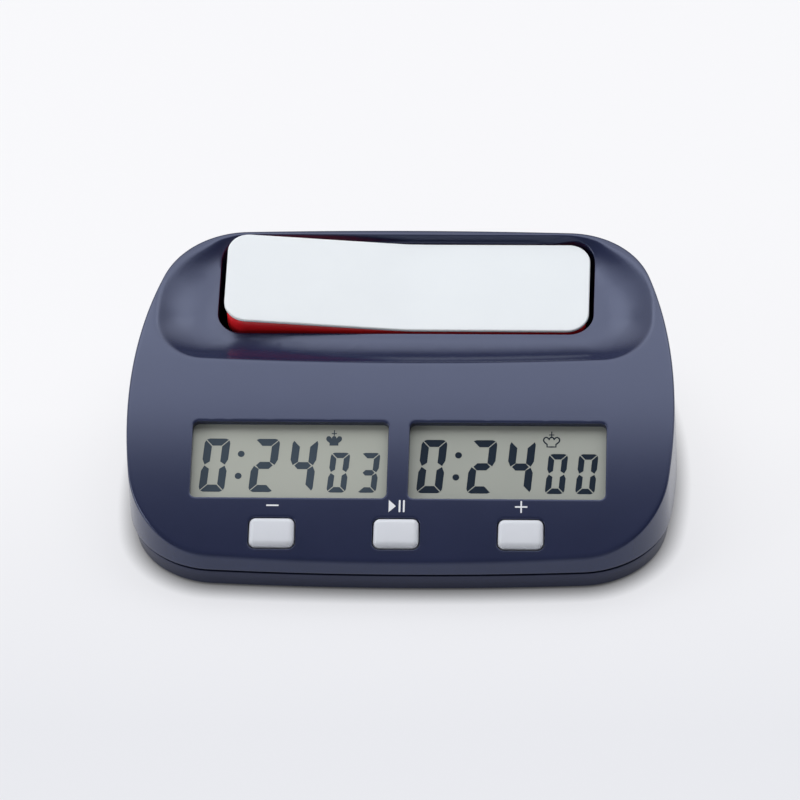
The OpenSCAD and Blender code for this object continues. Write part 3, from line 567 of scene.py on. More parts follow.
def edgeSteps(r, turns=shell["edgeTurns"]):
    return [inset for inset, up in roll(r, turns)]


def onTop(loop):
    return lifted(loop, topZ(*loop.T))


def between(a, b, share):
    return a + (b - a) * share


def upperShell():
    k = shell
    boundary = rollRing(0.0)
    rolls = edgeSteps(edgeR, k["rollTurns"]) + [edgeR + k["rollGuard"]]
    loops = [rollRing(q) for q in rolls] + [scoopLoop(t) for t in scoop["creases"]]
    holes, walls = [], []
    openings = [(windowLoop, side, "window") for side in (-1, 1)]
    openings += [(keyLoop, place, "key") for place in (-1, 0, 1)]
    for loopAt, place, kind in openings:
        edge = loopAt(place, 0.0)
        holes.append(panelPlan(edge))
        loops += [panelPlan(loopAt(place, o)) for o in edgeSteps(panel[kind + "Edge"]) + k[kind + "Guards"]]
        top = onTop(holes[-1])
        if kind == "key":
            deep = onPanel(edge, -panel["keyDepth"])
        else:
            deep = panelSpot(*edge.T, k["glassGap"] - panel["glassDepth"])
        walls.append(band(top, between(top, deep, k[kind + "Break"]), deep))
    holes.append(slotLoop(0.0))
    loops += [slotLoop(o) for o in edgeSteps(scoop["slotEdge"])]
    creases = [(loop, True) for loop in loops]
    for loop in [slotLoop(o) for o in scoop["guards"]]:
        creases.append((loop[slotU(loop[:, 1]) < scoop["guardBack"]], False))
    top = onTop(holes[-1])
    deep = top + np.array([0.0, sin(slotTilt), -slotCos]) * scoop["slotDepth"]
    walls.append(band(top, between(top, deep, k["slotBreak"]), deep))
    skin = sheet(boundary, holes, creases, k["step"], topZ)
    # outer wall down to the parting line, its foot turned in
    top, low = onTop(boundary), lifted(ringAt(0.0), partZ)
    height = (top[:, 2] - partZ)[:, None]
    rings = [lifted(ringAt(housing["wall"]), partZ + h) for h in (k["lipH"], 0.0)]
    rings += rounded(ringAt, 0.0, partZ, -k["footR"], k["footTurns"])
    shares = (k["wallLow"] / height, 0.5, 1 - k["wallHigh"] / height)
    rings += [between(low, top, share) for share in shares] + [top]
    return makeMesh("upperShell", [skin, band(*rings)] + walls)


addPiece("upperShell", upperShell(), "navy_plastic", "housing", ["upper_shell"])
print("upper shell made")


# base tray, with its underside
base = {"step": 0.45, "groove": (0.9, 0.5), "draft": 7.0, "edgeR": 0.5, "lipInset": 2.375, "lipH": 1.2,
        "lipT": 1.2, "inner": 3.0, "bayY": 5.2933, "bayHw": 29.0, "bayHd": 7.9, "bayRoof": 18.1,
        "notchR": 6.0, "notchDepth": 1.0, "wellR": 3.1, "wellTop": 6.55,
        "screws": ((-58.0, -39.828), (58.0, -39.828), (-58.0, 32.0), (58.0, 32.0)), "footR": 5.0,
        "footTop": 1.6, "feet": ((-61.0, -28.0), (61.0, -28.0), (-47.0, 40.0), (47.0, 40.0)),
        "power": (-52.0, 16.0), "powerPit": (7.45, 4.0, 1.5), "powerDepth": 1.0,
        "powerSlot": (3.3, 1.55, 0.3), "sound": (45.0, -13.677), "soundR": 0.9, "soundPitch": 3.2,
        "chamfer": 0.25, "turns": (90, 75, 60, 45, 30, 15, 0), "shelfR": 0.18, "footRoom": 0.05,
        "footChamfer": 0.4, "floorStep": 5.0, "pitStep": 2.0}
footZ = housing["footH"]


def pit(loop, mouth, top, floor=True):
    step = base["chamfer"]
    parts = [band(lifted(loop, top), lifted(loop, footZ + step), lifted(mouth, footZ))]
    return parts + ([cover(loop, top)] if floor else [])


def lowerShell():
    b = base
    tuck = b["step"] + housing["baseH"] * tan(radians(b["draft"]))
    shelfZ = baseTop - b["groove"][1]
    edge = rounded(ringAt, tuck, footZ, -b["edgeR"], b["turns"])
    top = rounded(ringAt, b["step"], shelfZ, b["shelfR"], b["turns"][::-2])
    rings = edge + [between(edge[-1], top[0], 0.5)] + top
    groove, lip, lipTop = b["step"] + b["groove"][0], b["lipInset"], baseTop + b["lipH"]
    inside = lip + b["lipT"]
    steps = ((groove, shelfZ), (groove, baseTop), (lip, baseTop), (lip, lipTop), (inside, lipTop),
             (inside, b["inner"]))
    rings += [lifted(ringAt(inset), z) for inset, z in steps]
    parts = [band(*rings)]
    # battery bay with the thumb notch at its front
    front, back = b["bayY"] - b["bayHd"], b["bayY"] + b["bayHd"]
    hw, nr = b["bayHw"], b["notchR"]
    a = np.linspace(pi, 2 * pi, 25)
    arc = columns(nr * np.cos(a), front + nr * np.sin(a))
    box = np.array([(nr, front), (hw, front), (hw, back), (-hw, back), (-hw, front), (-nr, front)])
    mouth = np.concatenate([box, arc[1:-1]])
    shelf = footZ + b["notchDepth"]
    parts.append(band(lifted(box, b["bayRoof"]), lifted(box, shelf)))
    parts.append(band(lifted(mouth, shelf), lifted(mouth, footZ)))
    parts += [cover(arc, shelf), cover(box, b["bayRoof"])]
    holes, step = [mouth], b["chamfer"]

    def wells(places, r, top, sides, floor=True):
        for x, y in places:
            holes.append(circleLoop(x, y, r + step, sides))
            parts.extend(pit(circleLoop(x, y, r, sides), holes[-1], top, floor))

    wells(b["screws"], b["wellR"], b["wellTop"], 32)
    wells(b["feet"], b["footR"] + b["footRoom"], b["footTop"], 48)
    shift = b["power"]
    loop = roundedLoop(*b["powerPit"], 6, 4, 3) + shift
    holes.append(widened(b["powerPit"], step, 6, 4, 3) + shift)
    deep = footZ + b["powerDepth"]
    parts += pit(loop, holes[-1], deep, False)
    slotEdge = roundedLoop(*b["powerSlot"], 4, 3, 2) + shift
    parts.append(sheet(loop, [slotEdge], [], b["pitStep"], level(deep), True))
    parts.append(band(lifted(slotEdge, b["inner"]), lifted(slotEdge, deep)))
    cross = np.array(((0, 0), (1, 0), (-1, 0), (0, 1), (0, -1))) * b["soundPitch"]
    wells(cross + b["sound"], b["soundR"], b["inner"], 20, False)
    parts.append(sheet(edge[0][:, :2], holes, [], b["floorStep"], level(footZ), True))
    return makeMesh("lowerShell", parts)


addPiece("lowerShell", flatShaded(lowerShell()), "navy_plastic", "housing", ["lower_shell"], baseSatin)
print("lower shell made")


# geometry node trees
def startTree(name, inputs):
    tree = bpy.data.node_groups.new(name, "GeometryNodeTree")
    tree.interface.new_socket("Geometry", in_out="INPUT", socket_type="NodeSocketGeometry")
    for label, kind in inputs:
        tree.interface.new_socket(label, in_out="INPUT", socket_type="NodeSocket" + kind)
    tree.interface.new_socket("Geometry", in_out="OUTPUT", socket_type="NodeSocketGeometry")
    return tree, tree.nodes.new("NodeGroupInput").outputs


def onSpots(tree, points, shape):
    return addNode(tree, "GeometryNodeInstanceOnPoints", {"Points": points, "Instance": shape})


def endTree(tree, geometry, given):
    real = addNode(tree, "GeometryNodeRealizeInstances", {"Geometry": geometry})
    paint = addNode(tree, "GeometryNodeSetMaterial", {"Geometry": real, "Material": given["Finish"]})
    fill(tree.nodes.new("NodeGroupOutput"), {"Geometry": paint})
    return tree


def grown(name, mesh, tree, values):
    obj = newObject(name, mesh)
    mod = obj.modifiers.new(name, "NODES")
    mod.node_group = tree
    for item in tree.interface.items_tree:
        if item.in_out == "INPUT" and item.name in values:
            mod[item.identifier] = values[item.name]
    result = bpy.data.meshes.new_from_object(obj.evaluated_get(bpy.context.evaluated_depsgraph_get()))
    result.name = name
    bpy.data.objects.remove(obj)
    return result


# rocker: flat slabs that a node tree bends into a shallow V
rocker = {"hw": 50.2, "hd": 14.5996, "r": 6.0, "top": 5.9076, "capT": 1.5, "edge": 0.45, "side": 0.75,
          "tuck": 0.65, "crown": 0.12, "bend": 2.9, "valley": 2.5, "pivotDrop": 5.2, "step": 0.7,
          "skirtH": 8.0, "skirtWall": 1.6, "hubR": 3.4, "boreR": 1.55, "tongueHw": 1.25, "tongueHd": 2.6,
          "tongueTip": -13.2, "tongueR": 0.4, "tongueRoot": 0.4, "webR": 0.3, "webGap": 0.8, "capGap": 0.15,
          "skirtEdge": 0.4, "skirtRings": (1.2, 4.0), "sideRings": ((0.1, -0.1), (0.03, 0.0), (0.0, 0.08)),
          "turns": (0, 12, 24, 36, 48, 60, 70, 80, 90), "creases": (0.7, 1.6, 2.8, 4.6, 7.2),
          "creaseEnd": 0.7, "least": 0.3, "topStep": 2.2, "innerStep": 4.0, "hubSides": 40}
rockerMatrix = (Matrix.Translation(Vector((0, slotY, slotZ)) * mm) @ Matrix.Rotation(slotTilt, 4, "X")
                @ Matrix.Translation((0, 0, -rocker["pivotDrop"] * mm))
                @ Matrix.Rotation(radians(rocker["bend"]), 4, "Y"))


def bendTree():
    names = (("Bend", "Float"), ("Valley", "Float"), ("Finish", "Material"))
    tree, given = startTree("rockerBend", names)
    place = addNode(tree, "GeometryNodeInputPosition")
    x, soft = addNode(tree, "ShaderNodeSeparateXYZ", {"Vector": place}, "X"), given["Valley"]
    squares = [sums(tree, "MULTIPLY", v, v) for v in (x, soft)]
    far = sums(tree, "SQRT", sums(tree, "ADD", *squares))
    rise = sums(tree, "MULTIPLY", far, sums(tree, "TANGENT", sums(tree, "RADIANS", given["Bend"])))
    offset = triple(tree, None, None, rise)
    moved = addNode(tree, "GeometryNodeSetPosition",
                    {"Geometry": given["Geometry"], "Offset": offset})
    return endTree(tree, moved, given)


rockerBend = bendTree()


def bent(name, parts, slotName):
    values = {"Bend": rocker["bend"], "Valley": rocker["valley"] * mm, "Finish": finishes[slotName]}
    return grown(name, makeMesh(name, parts), rockerBend, values)


def shrunk(k, inset, *counts):
    return roundedLoop(k["hw"] - inset, k["hd"] - inset, max(k["r"] - inset, k["least"]), *counts)


def rockerLoop(inset):
    return shrunk(rocker, inset, 14, 72, 14)


def valleyLines(inset):
    y = np.linspace(-1, 1, 13) * (rocker["hd"] - inset - rocker["creaseEnd"])
    places = [0] + [side * x for x in rocker["creases"] for side in (1, -1)]
    return [(columns(np.full(13, x), y), False) for x in places]


def rockerCap():
    k = rocker
    low, rim = k["top"] - k["capT"], k["top"] - k["side"]

    def crowned(z):
        return lambda x, y: z - k["crown"] * (y / k["hd"]) ** 2

    def ring(inset, z):
        loop = rockerLoop(inset)
        return lifted(loop, crowned(z)(*loop.T))

    rings = [ring(k["tuck"], low)] + [ring(inset, rim + up) for inset, up in k["sideRings"]]
    rings += [ring(inset, k["top"] + up) for inset, up in roll(k["edge"], k["turns"])]
    lines = valleyLines(k["edge"])
    parts = [band(*rings), sheet(rockerLoop(k["edge"]), [], lines, k["topStep"], crowned(k["top"])),
             sheet(rockerLoop(k["tuck"]), [], lines, k["innerStep"], crowned(low), True)]
    mesh = bent("rockerCap", parts, "white_plastic")
    mesh.transform(rockerMatrix)
    return mesh


def rockerSkirt():
    k = rocker
    high, low = k["top"] - k["capT"] - k["capGap"], k["top"] - k["capT"] - k["skirtH"]
    inside, roof = k["step"] + k["skirtWall"], high - k["skirtWall"]
    rings = [lifted(rockerLoop(inside), z) for z in (roof, low)]
    rings += rounded(rockerLoop, k["step"], low, -k["skirtEdge"], (90, 60, 30, 0))
    rings += [lifted(rockerLoop(k["step"]), z) for z in [low + up for up in k["skirtRings"]] + [high]]
    lines = valleyLines(inside)
    parts = [band(*rings), sheet(rockerLoop(k["step"]), [], lines, k["innerStep"], level(high)),
             sheet(rockerLoop(inside), [], lines, k["innerStep"], level(roof), True)]
    shellMesh = bent("skirtShell", parts, "red_plastic")
    # hub with its bore, web and tongue, which stay straight
    ends = k["hd"] - k["step"]
    sides = k["hubSides"]
    a = -np.arange(sides) * 2 * pi / sides
    hub, bore = k["hubR"], k["boreR"]
    rims = [columns(r * np.cos(a), np.full(sides, y), r * np.sin(a))
            for r, y in ((hub, -ends), (hub, ends), (bore, ends), (bore, -ends), (hub, -ends))]
    root = bore + k["tongueRoot"]
    tongue = roundedLoop(k["tongueHw"], k["tongueHd"], k["tongueR"], 3, 2, 3)
    web = roundedLoop(k["tongueHw"], ends - k["webGap"], k["webR"], 3, 2, 8)
    core = [band(*rims), band(lifted(tongue, k["tongueTip"]), lifted(tongue, -root)),
            cover(tongue, k["tongueTip"]), band(lifted(web, root), lifted(web, roof))]
    bm = bmesh.new()
    bm.from_mesh(shellMesh)
    bm.from_mesh(makeMesh("skirtHub", core))
    mesh = bpy.data.meshes.new("rockerSkirt")
    bm.to_mesh(mesh)
    bm.free()
    mesh.transform(rockerMatrix)
    return mesh


addPiece("rockerCap", rockerCap(), "white_plastic", "rocker", ["rocker_cap"])
addPiece("rockerSkirt", rockerSkirt(), "red_plastic", "rocker", ["rocker_skirt"])
print("rocker made")

# keys
keys = {"hw": 6.1, "hd": 4.15, "r": 1.7, "edge": 1.4, "proud": 1.0, "crown": 0.1, "flangeTop": -3.912,
        "flangeT": 1.0, "flange": 0.9, "stemR": 1.7, "stemLow": -5.7, "least": 0.25, "step": 0.8,
        "turns": (0, 12, 24, 36, 48, 60, 70, 80, 90)}


def keyCap(name, place):
    k = keys
    shift = (place * panel["keyX"], keyS)
    top = keyFace + k["proud"]

    def loop(inset):
        return shrunk(k, inset, 8, 10, 6) + shift

    def pillow(x, y):
        return top - k["crown"] * (((x - shift[0]) / k["hw"]) ** 2 + ((y - shift[1]) / k["hd"]) ** 2)

    low = k["flangeTop"] - k["flangeT"]
    stem = circleLoop(*shift, k["stemR"], 24)
    flange = loop(-k["flange"])
    rings = [lifted(flange, low), lifted(flange, k["flangeTop"]), lifted(loop(0), k["flangeTop"])]
    for inset, up in roll(k["edge"], k["turns"]):
        ring = loop(inset)
        rings.append(lifted(ring, pillow(*ring.T) + up))
    parts = [band(*rings), sheet(loop(k["edge"]), [], [], k["step"], pillow), cover(flange, low),
             band(lifted(stem, k["stemLow"]), lifted(stem, low)), cover(stem, k["stemLow"])]
    return makeMesh(name, parts, panelMatrix)


for name, place in (("minus", -1), ("pause", 0), ("plus", 1)):
    addPiece(name + "Key", keyCap(name + "Key", place), "key_plastic", name + "_key", [name + "_button"])
print("keys made")

# displays: a glass cell with seven-segment figures, in millimetres from each window's middle
display = {"hw": 28.65, "hd": 13.2, "front": -2.9, "thick": 2.4, "bevel": 0.25, "lift": 0.02, "slant": 0.08,
           "big": (7.0, 15.7, 2.1), "small": (5.25, 11.75, 1.62), "gap": 0.27, "bigTop": 7.0,
           "smallTop": 3.05, "rightEdges": (-16.4, -2.85, 7.6, 16.35, 24.55),
           "colon": ((-13.4, 2.5), (-13.95, -4.0)), "dotR": 0.93, "king": (11.75, 5.12), "kingLine": 0.4,
           "cellR": 0.4, "cross": ((0.14, 2.9, 4.55), (0.7, 3.4, 3.68))}
segmentsOf = {"0": "abcdef", "2": "abged", "3": "abgcd", "4": "fgbc"}


def segments(w, h, t, gap):
    k, r, m = gap * 0.7, t * 0.55, h / 2
    q = r * 0.29
    top = [(t + k, h - t), (q + k, h - q), (r, h - 0.05), (r + 0.3, h), (w - r - 0.3, h), (w - r, h - 0.05),
           (w - q - k, h - q), (w - t - k, h - t)]
    left = [(0, m + gap / 2 + t * 0.75), (t * 0.35, m + gap / 2), (t, m + gap / 2 + t * 0.45), (t, h - t - k),
            (q, h - q - k), (0.05, h - r), (0, h - r - 0.3)]
    tip, end = t * 0.45 + gap, t + gap * 0.4
    mid = [(tip, m), (end, m - t / 2), (w - end, m - t / 2), (w - tip, m), (w - end, m + t / 2),
           (end, m + t / 2)]
    right = [(w - x, y) for x, y in left]
    below = {"d": top, "e": left, "c": right}
    below = {key: [(x, h - y) for x, y in shape] for key, shape in below.items()}
    return {"a": top, "f": left, "b": right, "g": mid, **below}


def kingShape():
    half = [(0, 0), (1.2, 0), (1.2, 0.75), (1.45, 0.95), (1.85, 1.3), (2.1, 1.65), (2.17, 2.0),
            (2.08, 2.4), (1.85, 2.68), (1.5, 2.82), (1.15, 2.74), (0.85, 2.45), (0.66, 2.1), (0.55, 2.5),
            (0.32, 2.76), (0, 2.85)]
    return half + [(-x, y) for x, y in half[-2:0:-1]]


def stroke(path, width):
    pts = np.array(path)
    ahead, behind = np.roll(pts, -1, 0) - pts, pts - np.roll(pts, 1, 0)
    run = ahead / np.linalg.norm(ahead, axis=1)[:, None] + behind / np.linalg.norm(behind, axis=1)[:, None]
    side = columns(-run[:, 1], run[:, 0]) / np.linalg.norm(run, axis=1)[:, None] * width / 2
    outer, inner = pts + side, pts - side
    return list(zip(outer, inner, np.roll(inner, -1, 0), np.roll(outer, -1, 0)))


def figures(text, filled):
    d = display
    shapes = []
    for i, mark in enumerate(text):
        w, h, t = d["big"] if i < 3 else d["small"]
        top = d["bigTop"] if i < 3 else d["smallTop"]
        for letter in segmentsOf[mark]:
            shape = segments(w, h, t, d["gap"])[letter]
            left = d["rightEdges"][i] - w
            shapes.append([(left + x + (y - h) * d["slant"], top - h + y) for x, y in shape])
    shapes += [circleLoop(x, y, d["dotR"], 24) for x, y in d["colon"]]
    cx, cy = d["king"]
    king = [(cx + x, cy + y) for x, y in kingShape()]
    shapes += [king] if filled else stroke(king, d["kingLine"])
    for wide, low, high in d["cross"]:
        shapes.append([(cx + sx * wide, cy + z) for sx, z in ((-1, low), (1, low), (1, high), (-1, high))])
    return shapes


def flatShapes(name, shapes, spotAt):
    parts = []
    for shape in shapes:
        pts = np.array(shape)
        x, y = pts[:, 0], pts[:, 1]
        if np.sum(x * np.roll(y, -1) - np.roll(x, -1) * y) < 0:
            pts = pts[::-1]
        parts.append((spotAt(pts), [list(range(len(pts)))]))
    return makeMesh(name, parts, split=True)


def displayCell(name, side):
    d = display
    shift = (side * panel["windowX"], 0.0)
    bevel, front, back = d["bevel"], d["front"], d["front"] - d["thick"]
    outer, inner = [roundedLoop(d["hw"] - i, d["hd"] - i, d["cellR"], 3, 6, 4) + shift for i in (0, bevel)]
    levels = ((inner, back), (outer, back + bevel), (outer, front - bevel), (inner, front))
    rings = [lifted(loop, z) for loop, z in levels]
    mesh = makeMesh(name, closed(rings), panelMatrix)
    mesh.shade_flat()
    return mesh


for name, side, text in (("Left", -1, "02403"), ("Right", 1, "02400")):
    cell = displayCell("display" + name, side)
    addPiece("display" + name, cell, "display", "housing", ["lcd_" + name.lower()], cellGlass[name])

    def onGlass(pts, side=side):
        x, s = pts.T
        return panelSpot(x + side * panel["windowX"], s, display["front"] + display["lift"])

    mesh = flatShapes("figures" + name, figures(text, side < 0), onGlass)
    addPiece("figures" + name, mesh, "display", "housing", material=segmentInk[name])
print("displays made")

# printed marks above the keys
marks = {"y": -36.15, "bar": 3.4, "stroke": 0.43, "play": (-2.14, 1.95), "height": 3.5,
         "stripes": (0.81, 1.95), "stripe": 0.5, "lift": 0.02}


def pill(cx, cy, hw, hd):
    return roundedLoop(hw, hd, min(hw, hd) * 0.9, 5, 3, 3) + (cx, cy)


def keyMarks():
    s = float(panelS(marks["y"]))
    bar, thin, pitch = marks["bar"] / 2, marks["stroke"] / 2, panel["keyX"]
    left, wide, h, arm = marks["play"][0], marks["play"][1], marks["height"] / 2, (bar - thin) / 2
    shapes = [pill(-pitch, s, bar, thin), pill(pitch, s, bar, thin), pill(pitch, s + thin + arm, thin, arm),
              pill(pitch, s - thin - arm, thin, arm), [(left, s - h), (left + wide, s), (left, s + h)]]
    shapes += [pill(x, s, marks["stripe"] / 2, h) for x in marks["stripes"]]
    return flatShapes("keyMarks", shapes, lambda p: onPanel(p, marks["lift"]))


addPiece("keyMarks", keyMarks(), "white_plastic", "housing", material=printWhite)
print("marks made")

# underside: battery door, its grip ribs, power knob, feet and screws
door = {"hw": 28.65, "front": -2.2567, "hingeY": 10.9433, "hingeZ": 2.7, "hingeR": 1.9, "thick": 1.8,
        "bevel": 0.3, "pinR": 0.9, "pinHw": 30.2, "ribCount": 4, "ribPitch": 1.6, "ribSize": (20.0, 0.8, 0.6),
        "ribY": -1.0067, "ribSink": 0.1, "endBevel": 0.2, "endShrink": 0.02, "pinRoot": 0.5, "pinSides": 20}
knob = {"at": (-53.25, 16.0), "knob": (1.8, 1.3), "head": (3.2, 2.2), "levels": (1.05, 3.25, 4.25), "r": 0.35,
        "bevel": 0.2}


def alongX(profile, x):
    return np.column_stack([np.full(len(profile), x), profile])


def doorPlate():
    d = door
    low, f, b = d["hingeZ"] - d["hingeR"], d["front"], d["bevel"]
    high = low + d["thick"]
    a = np.linspace(-pi / 2, pi + asin((d["hingeZ"] - high) / d["hingeR"]), 29)
    curl = columns(d["hingeY"] + d["hingeR"] * np.cos(a), d["hingeZ"] + d["hingeR"] * np.sin(a))
    nose = [(f, low + b), (f + b * 0.3, low + b * 0.3), (f + b, low)]
    profile = np.concatenate([nose, curl, [(f + b, high), (f, high - b)]])
    ends, hw = np.clip((profile - profile.mean(0)) * d["endShrink"], -d["endBevel"], d["endBevel"]), d["hw"]
    inner = hw - d["endBevel"]
    rings = [alongX(profile - ends, -hw), alongX(profile, -inner), alongX(profile, inner),
             alongX(profile - ends, hw)]
    parts = closed(rings)
    pin = circleLoop(d["hingeY"], d["hingeZ"], d["pinR"], d["pinSides"])
    for side in (-1, 1):
        parts += closed([alongX(pin, x) for x in sorted((side * (hw - d["pinRoot"]), side * d["pinHw"]))])
    return makeMesh("doorPlate", parts)


def joined(tree, *parts):
    node = tree.nodes.new("GeometryNodeJoinGeometry")
    for part in parts:
        tree.links.new(part, node.inputs["Geometry"])
    return node.outputs["Geometry"]


def pillar(tree, radius, depth, middle, sides=40):
    sizes = {"Vertices": sides, "Radius": radius, "Depth": depth}
    shape = addNode(tree, "GeometryNodeMeshCylinder", sizes, "Mesh")
    move = triple(tree, None, None, middle)
    return addNode(tree, "GeometryNodeTransform", {"Geometry": shape, "Translation": move})


def ribTree():
    names = (("Count", "Int"), ("Pitch", "Float"), ("Size", "Vector"), ("Finish", "Material"))
    tree, given = startTree("gripRibs", names)
    step = triple(tree, None, given["Pitch"], None)
    row = addNode(tree, "GeometryNodeMeshLine", {"Count": given["Count"], "Offset": step}, "Mesh")
    bar = addNode(tree, "GeometryNodeMeshCube", {"Size": given["Size"]})
    return endTree(tree, onSpots(tree, row, bar), given)


def screwTree():
    names = ("Head Radius", "Head Height", "Shank Radius", "Shank Length", "Drive Width", "Drive Length",
             "Drive Depth")
    tree, sizes = startTree("screwSet", [(n, "Float") for n in names] + [("Finish", "Material")])
    half = sums(tree, "MULTIPLY", sizes["Head Height"], -0.5)
    head = pillar(tree, sizes["Head Radius"], sizes["Head Height"], half)
    middle = sums(tree, "MULTIPLY", sizes["Shank Length"], 0.5)
    shank = pillar(tree, sizes["Shank Radius"], sizes["Shank Length"], middle, 24)
    deep = sums(tree, "MULTIPLY", sizes["Drive Depth"], 2.0)
    mouth = triple(tree, None, None, sums(tree, "MULTIPLY", sizes["Head Height"], -1.0))
    cut = tree.nodes.new("GeometryNodeMeshBoolean")
    tree.links.new(head, cut.inputs["Mesh 1"])
    for x, y in (("Drive Length", "Drive Width"), ("Drive Width", "Drive Length")):
        block = addNode(tree, "GeometryNodeMeshCube", {"Size": triple(tree, sizes[x], sizes[y], deep)})
        block = addNode(tree, "GeometryNodeTransform", {"Geometry": block, "Translation": mouth})
        tree.links.new(block, cut.inputs["Mesh 2"])
    screw = joined(tree, cut.outputs["Mesh"], shank)
    return endTree(tree, onSpots(tree, sizes["Geometry"], screw), sizes)


def footTree():
    names = (("Radius", "Float"), ("Height", "Float"), ("Chamfer", "Float"), ("Finish", "Material"))
    tree, sizes = startTree("footSet", names)
    rise = sums(tree, "SUBTRACT", sizes["Height"], sizes["Chamfer"])
    stand = pillar(tree, sizes["Radius"], rise, sums(tree, "MULTIPLY_ADD", rise, 0.5, sizes["Chamfer"]), 48)
    sole = sums(tree, "SUBTRACT", sizes["Radius"], sizes["Chamfer"])
    cone = {"Vertices": 48, "Radius Bottom": sole, "Radius Top": sizes["Radius"], "Depth": sizes["Chamfer"]}
    foot = joined(tree, stand, addNode(tree, "GeometryNodeMeshCone", cone, "Mesh"))
    return endTree(tree, onSpots(tree, sizes["Geometry"], foot), sizes)


def spotMesh(name, spots):
    mesh = bpy.data.meshes.new(name)
    mesh.from_pydata([Vector(p) * mm for p in spots], [], [])
    return mesh


def powerKnob():
    k = knob
    low, mid, high = k["levels"]

    def loop(size, inset):
        return roundedLoop(size[0] - inset, size[1] - inset, k["r"], 3, 3, 3) + k["at"]

    tip, stem, head = loop(k["knob"], k["bevel"]), loop(k["knob"], 0.0), loop(k["head"], 0.0)
    levels = ((tip, low), (stem, low + k["bevel"]), (stem, mid), (head, mid), (head, high))
    rings = [lifted(ring, z) for ring, z in levels]
    return makeMesh("powerKnob", closed(rings))


addPiece("batteryDoor", flatShaded(doorPlate()), "navy_plastic", "door", ["battery_door"])
ribValues = {"Count": door["ribCount"], "Pitch": door["ribPitch"] * mm,
             "Size": [v * mm for v in door["ribSize"]], "Finish": finishes["navy_plastic"]}
ribMesh = grown("doorRibs", spotMesh("ribSpots", []), ribTree(), ribValues)
ribZ = door["hingeZ"] - door["hingeR"] - door["ribSink"]
ribMesh.transform(Matrix.Translation(Vector((0, door["ribY"], ribZ)) * mm))
addPiece("doorRibs", ribMesh, "navy_plastic", "door")
addPiece("powerKnob", flatShaded(powerKnob()), "switch_plastic", "power_knob", ["power_switch_knob"])
screwValues = {"Head Radius": 2.7, "Head Height": 2.0, "Shank Radius": 1.25, "Shank Length": 7.1,
               "Drive Width": 0.8, "Drive Length": 3.4, "Drive Depth": 0.9}
screwValues = {key: v * mm for key, v in screwValues.items()} | {"Finish": finishes["steel"]}
screwSpots = spotMesh("screwSpots", [(x, y, base["wellTop"]) for x, y in base["screws"]])
screwMesh = flatShaded(grown("housingScrews", screwSpots, screwTree(), screwValues))
addPiece("housingScrews", screwMesh, "steel", "housing", ["housing_screws"])
footValues = {"Radius": base["footR"] * mm, "Height": base["footTop"] * mm,
              "Chamfer": base["footChamfer"] * mm, "Finish": finishes["foot_rubber"]}
footSpots = spotMesh("footSpots", [(x, y, 0.0) for x, y in base["feet"]])
addPiece("feet", flatShaded(grown("feet", footSpots, footTree(), footValues), 30.0), "foot_rubber", "housing",
         ["foot_front_left", "foot_front_right", "foot_back_left", "foot_back_right"])
print("underside made")

# the rest keeps its CAD shape and takes its finish
for part in frame["record"]["subparts"]:
    mesh = frame["nodes"][part["node"]].data
    mesh.materials.clear()
    mesh.materials.append(finishes[part["material_slot"]])

# studio: pale floor under a white tent open at the front, two soft lamps above and one at the left
studio = {"floorR": 8000.0, "floor": (0.86, 0.866, 0.884), "floorMottle": 1.01, "floorRough": (0.85, 0.95),
          "floorSides": 64, "glow": ((0.785, 0.795, 0.836), (0.95, 0.95, 0.97)), "glowShare": 0.75,
          "glowRun": (-100.0, 20.0), "shadeReach": 5.5, "shadePower": 1.7, "tent": 2.83,
          "tentTint": (1.0, 1.0, 1.02),
          "tentSteps": ((-1.0, 0.26), (-0.85, 0.12), (-0.6, 0.06), (-0.25, 0.065), (-0.05, 0.13),
                        (0.02, 0.29), (0.14, 0.95), (0.4, 1.0), (0.52, 0.92), (0.63, 0.74), (0.73, 0.5),
                        (0.81, 0.28), (0.89, 0.1), (0.95, 0.02)),
          "tentSide": (0.4, 0.7, 0.45),
          "lamps": (("lampLeft", -38.0, 58.0, 2500.0, (900.0, 900.0), 0.6),
                    ("lampRight", 38.0, 58.0, 2500.0, (900.0, 900.0), 0.6),
                    ("lampSide", -105.0, 22.0, 2500.0, (1300.0, 1300.0), 3.0))}


def addLamp(name, azimuth, elevation, distance, size, radiance):
    a, e = radians(azimuth), radians(elevation)
    data = bpy.data.lights.new(name, "AREA")
    data.shape = "RECTANGLE"
    data.size, data.size_y = size[0] * mm, size[1] * mm
    data.energy = radiance * pi * data.size * data.size_y
    lamp = newObject(name, data)
    way = Vector((sin(a) * cos(e), cos(a) * cos(e), sin(e)))
    lamp.location = way * distance * mm
    lamp.rotation_euler = (-lamp.location).to_track_quat("-Z", "Y").to_euler()


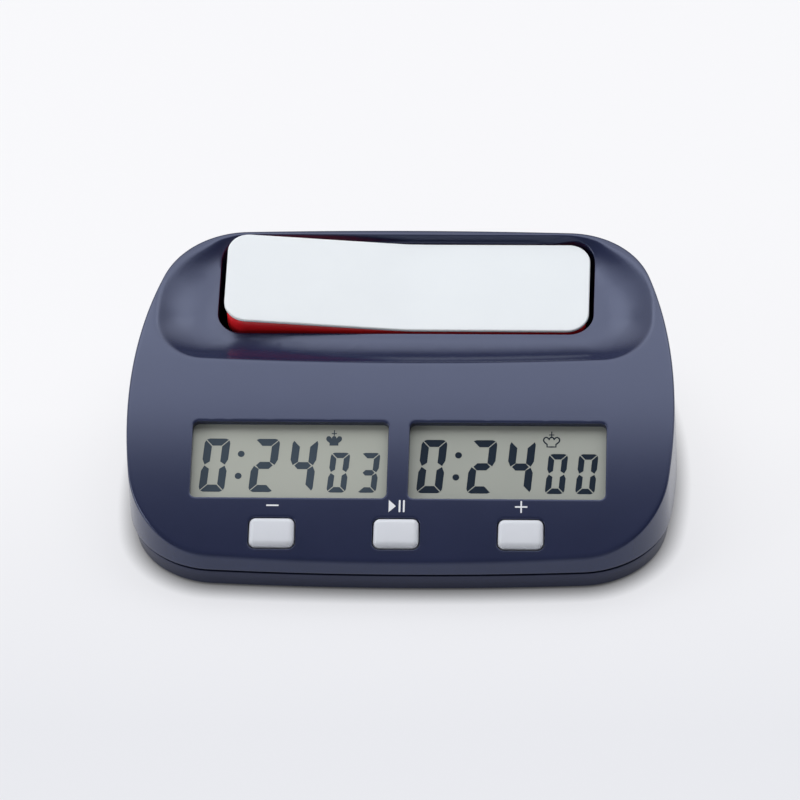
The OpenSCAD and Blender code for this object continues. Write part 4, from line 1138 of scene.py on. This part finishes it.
def floorPaper(s):
    light = tuple(v * s["floorMottle"] for v in s["floor"])
    mat = moulded("floorPaper", s["floor"], light, s["floorRough"], mottle=3.0, relief=0.0, **spec(0.1))
    tree = mat.node_tree
    spot = tree.nodes["Texture Coordinate"].outputs["Object"]
    along = addNode(tree, "ShaderNodeSeparateXYZ", {"Vector": spot}, "Y")
    # the glow's colour runs from darker at the front to lighter at the back: a painted gradient of light on
    # the floor
    start, stop = [v * mm for v in s["glowRun"]]
    run = addNode(tree, "ShaderNodeMapRange", {"Value": along, "From Min": start, "From Max": stop}, "Result")
    tone = ramp(tree, run, list(enumerate(s["glow"])))
    shade = addNode(tree, "ShaderNodeAmbientOcclusion", {"Distance": s["shadeReach"] * mm}, "AO")
    shade = sums(tree, "POWER", shade, s["shadePower"])
    glow = addNode(tree, "ShaderNodeEmission", {"Color": tone, "Strength": shade})
    path = tree.nodes.new("ShaderNodeLightPath").outputs
    seen = sums(tree, "MAXIMUM", path["Is Camera Ray"], path["Is Glossy Ray"])
    seen = sums(tree, "MAXIMUM", seen, path["Is Transmission Ray"])
    paper = tree.nodes["Principled BSDF"].outputs["BSDF"]
    share = sums(tree, "MULTIPLY", seen, s["glowShare"])
    mix = addNode(tree, "ShaderNodeMixShader", {0: share, 1: paper, 2: glow})
    fill(tree.nodes["Material Output"], {"Surface": mix})
    return mat


def tentWorld(s):
    world = bpy.data.worlds.new("tent")
    world.use_nodes = True
    tree = world.node_tree
    way = tree.nodes.new("ShaderNodeSeparateXYZ")
    fill(way, {"Vector": addNode(tree, "ShaderNodeTexCoord", output="Generated")})
    along = sums(tree, "MULTIPLY_ADD", way.outputs["Y"], 0.5, 0.5)
    steps = [((at + 1) / 2, [share * v for v in s["tentTint"]]) for at, share in s["tentSteps"]]
    tone = ramp(tree, along, steps)
    near, far, dim = s["tentSide"]
    side = tree.nodes.new("ShaderNodeMapRange")
    side.interpolation_type = "SMOOTHSTEP"
    fill(side, {"Value": sums(tree, "ABSOLUTE", way.outputs["X"]), "From Min": near, "From Max": far,
                "To Min": s["tent"], "To Max": s["tent"] * dim})
    cloth = tree.nodes["Background"]
    fill(cloth, {"Color": tone, "Strength": side.outputs["Result"]})
    plain = addNode(tree, "ShaderNodeBackground", {"Color": (*s["glow"][1], 1.0)})
    seen = addNode(tree, "ShaderNodeLightPath", output="Is Camera Ray")
    mix = addNode(tree, "ShaderNodeMixShader", {0: seen, 1: cloth.outputs["Background"], 2: plain})
    fill(tree.nodes["World Output"], {"Surface": mix})
    return world


def addStudio(s):
    mesh = bpy.data.meshes.new("floor")
    ring = lifted(circleLoop(0.0, 0.0, s["floorR"] * mm, s["floorSides"]), 0.0)
    mesh.from_pydata(ring.tolist(), [], [list(range(s["floorSides"]))])
    mesh.materials.append(floorPaper(s))
    floor = newObject("floor", mesh)
    scene.world = tentWorld(s)
    for lamp in s["lamps"]:
        addLamp(*lamp)


addStudio(studio)
print("studio set")
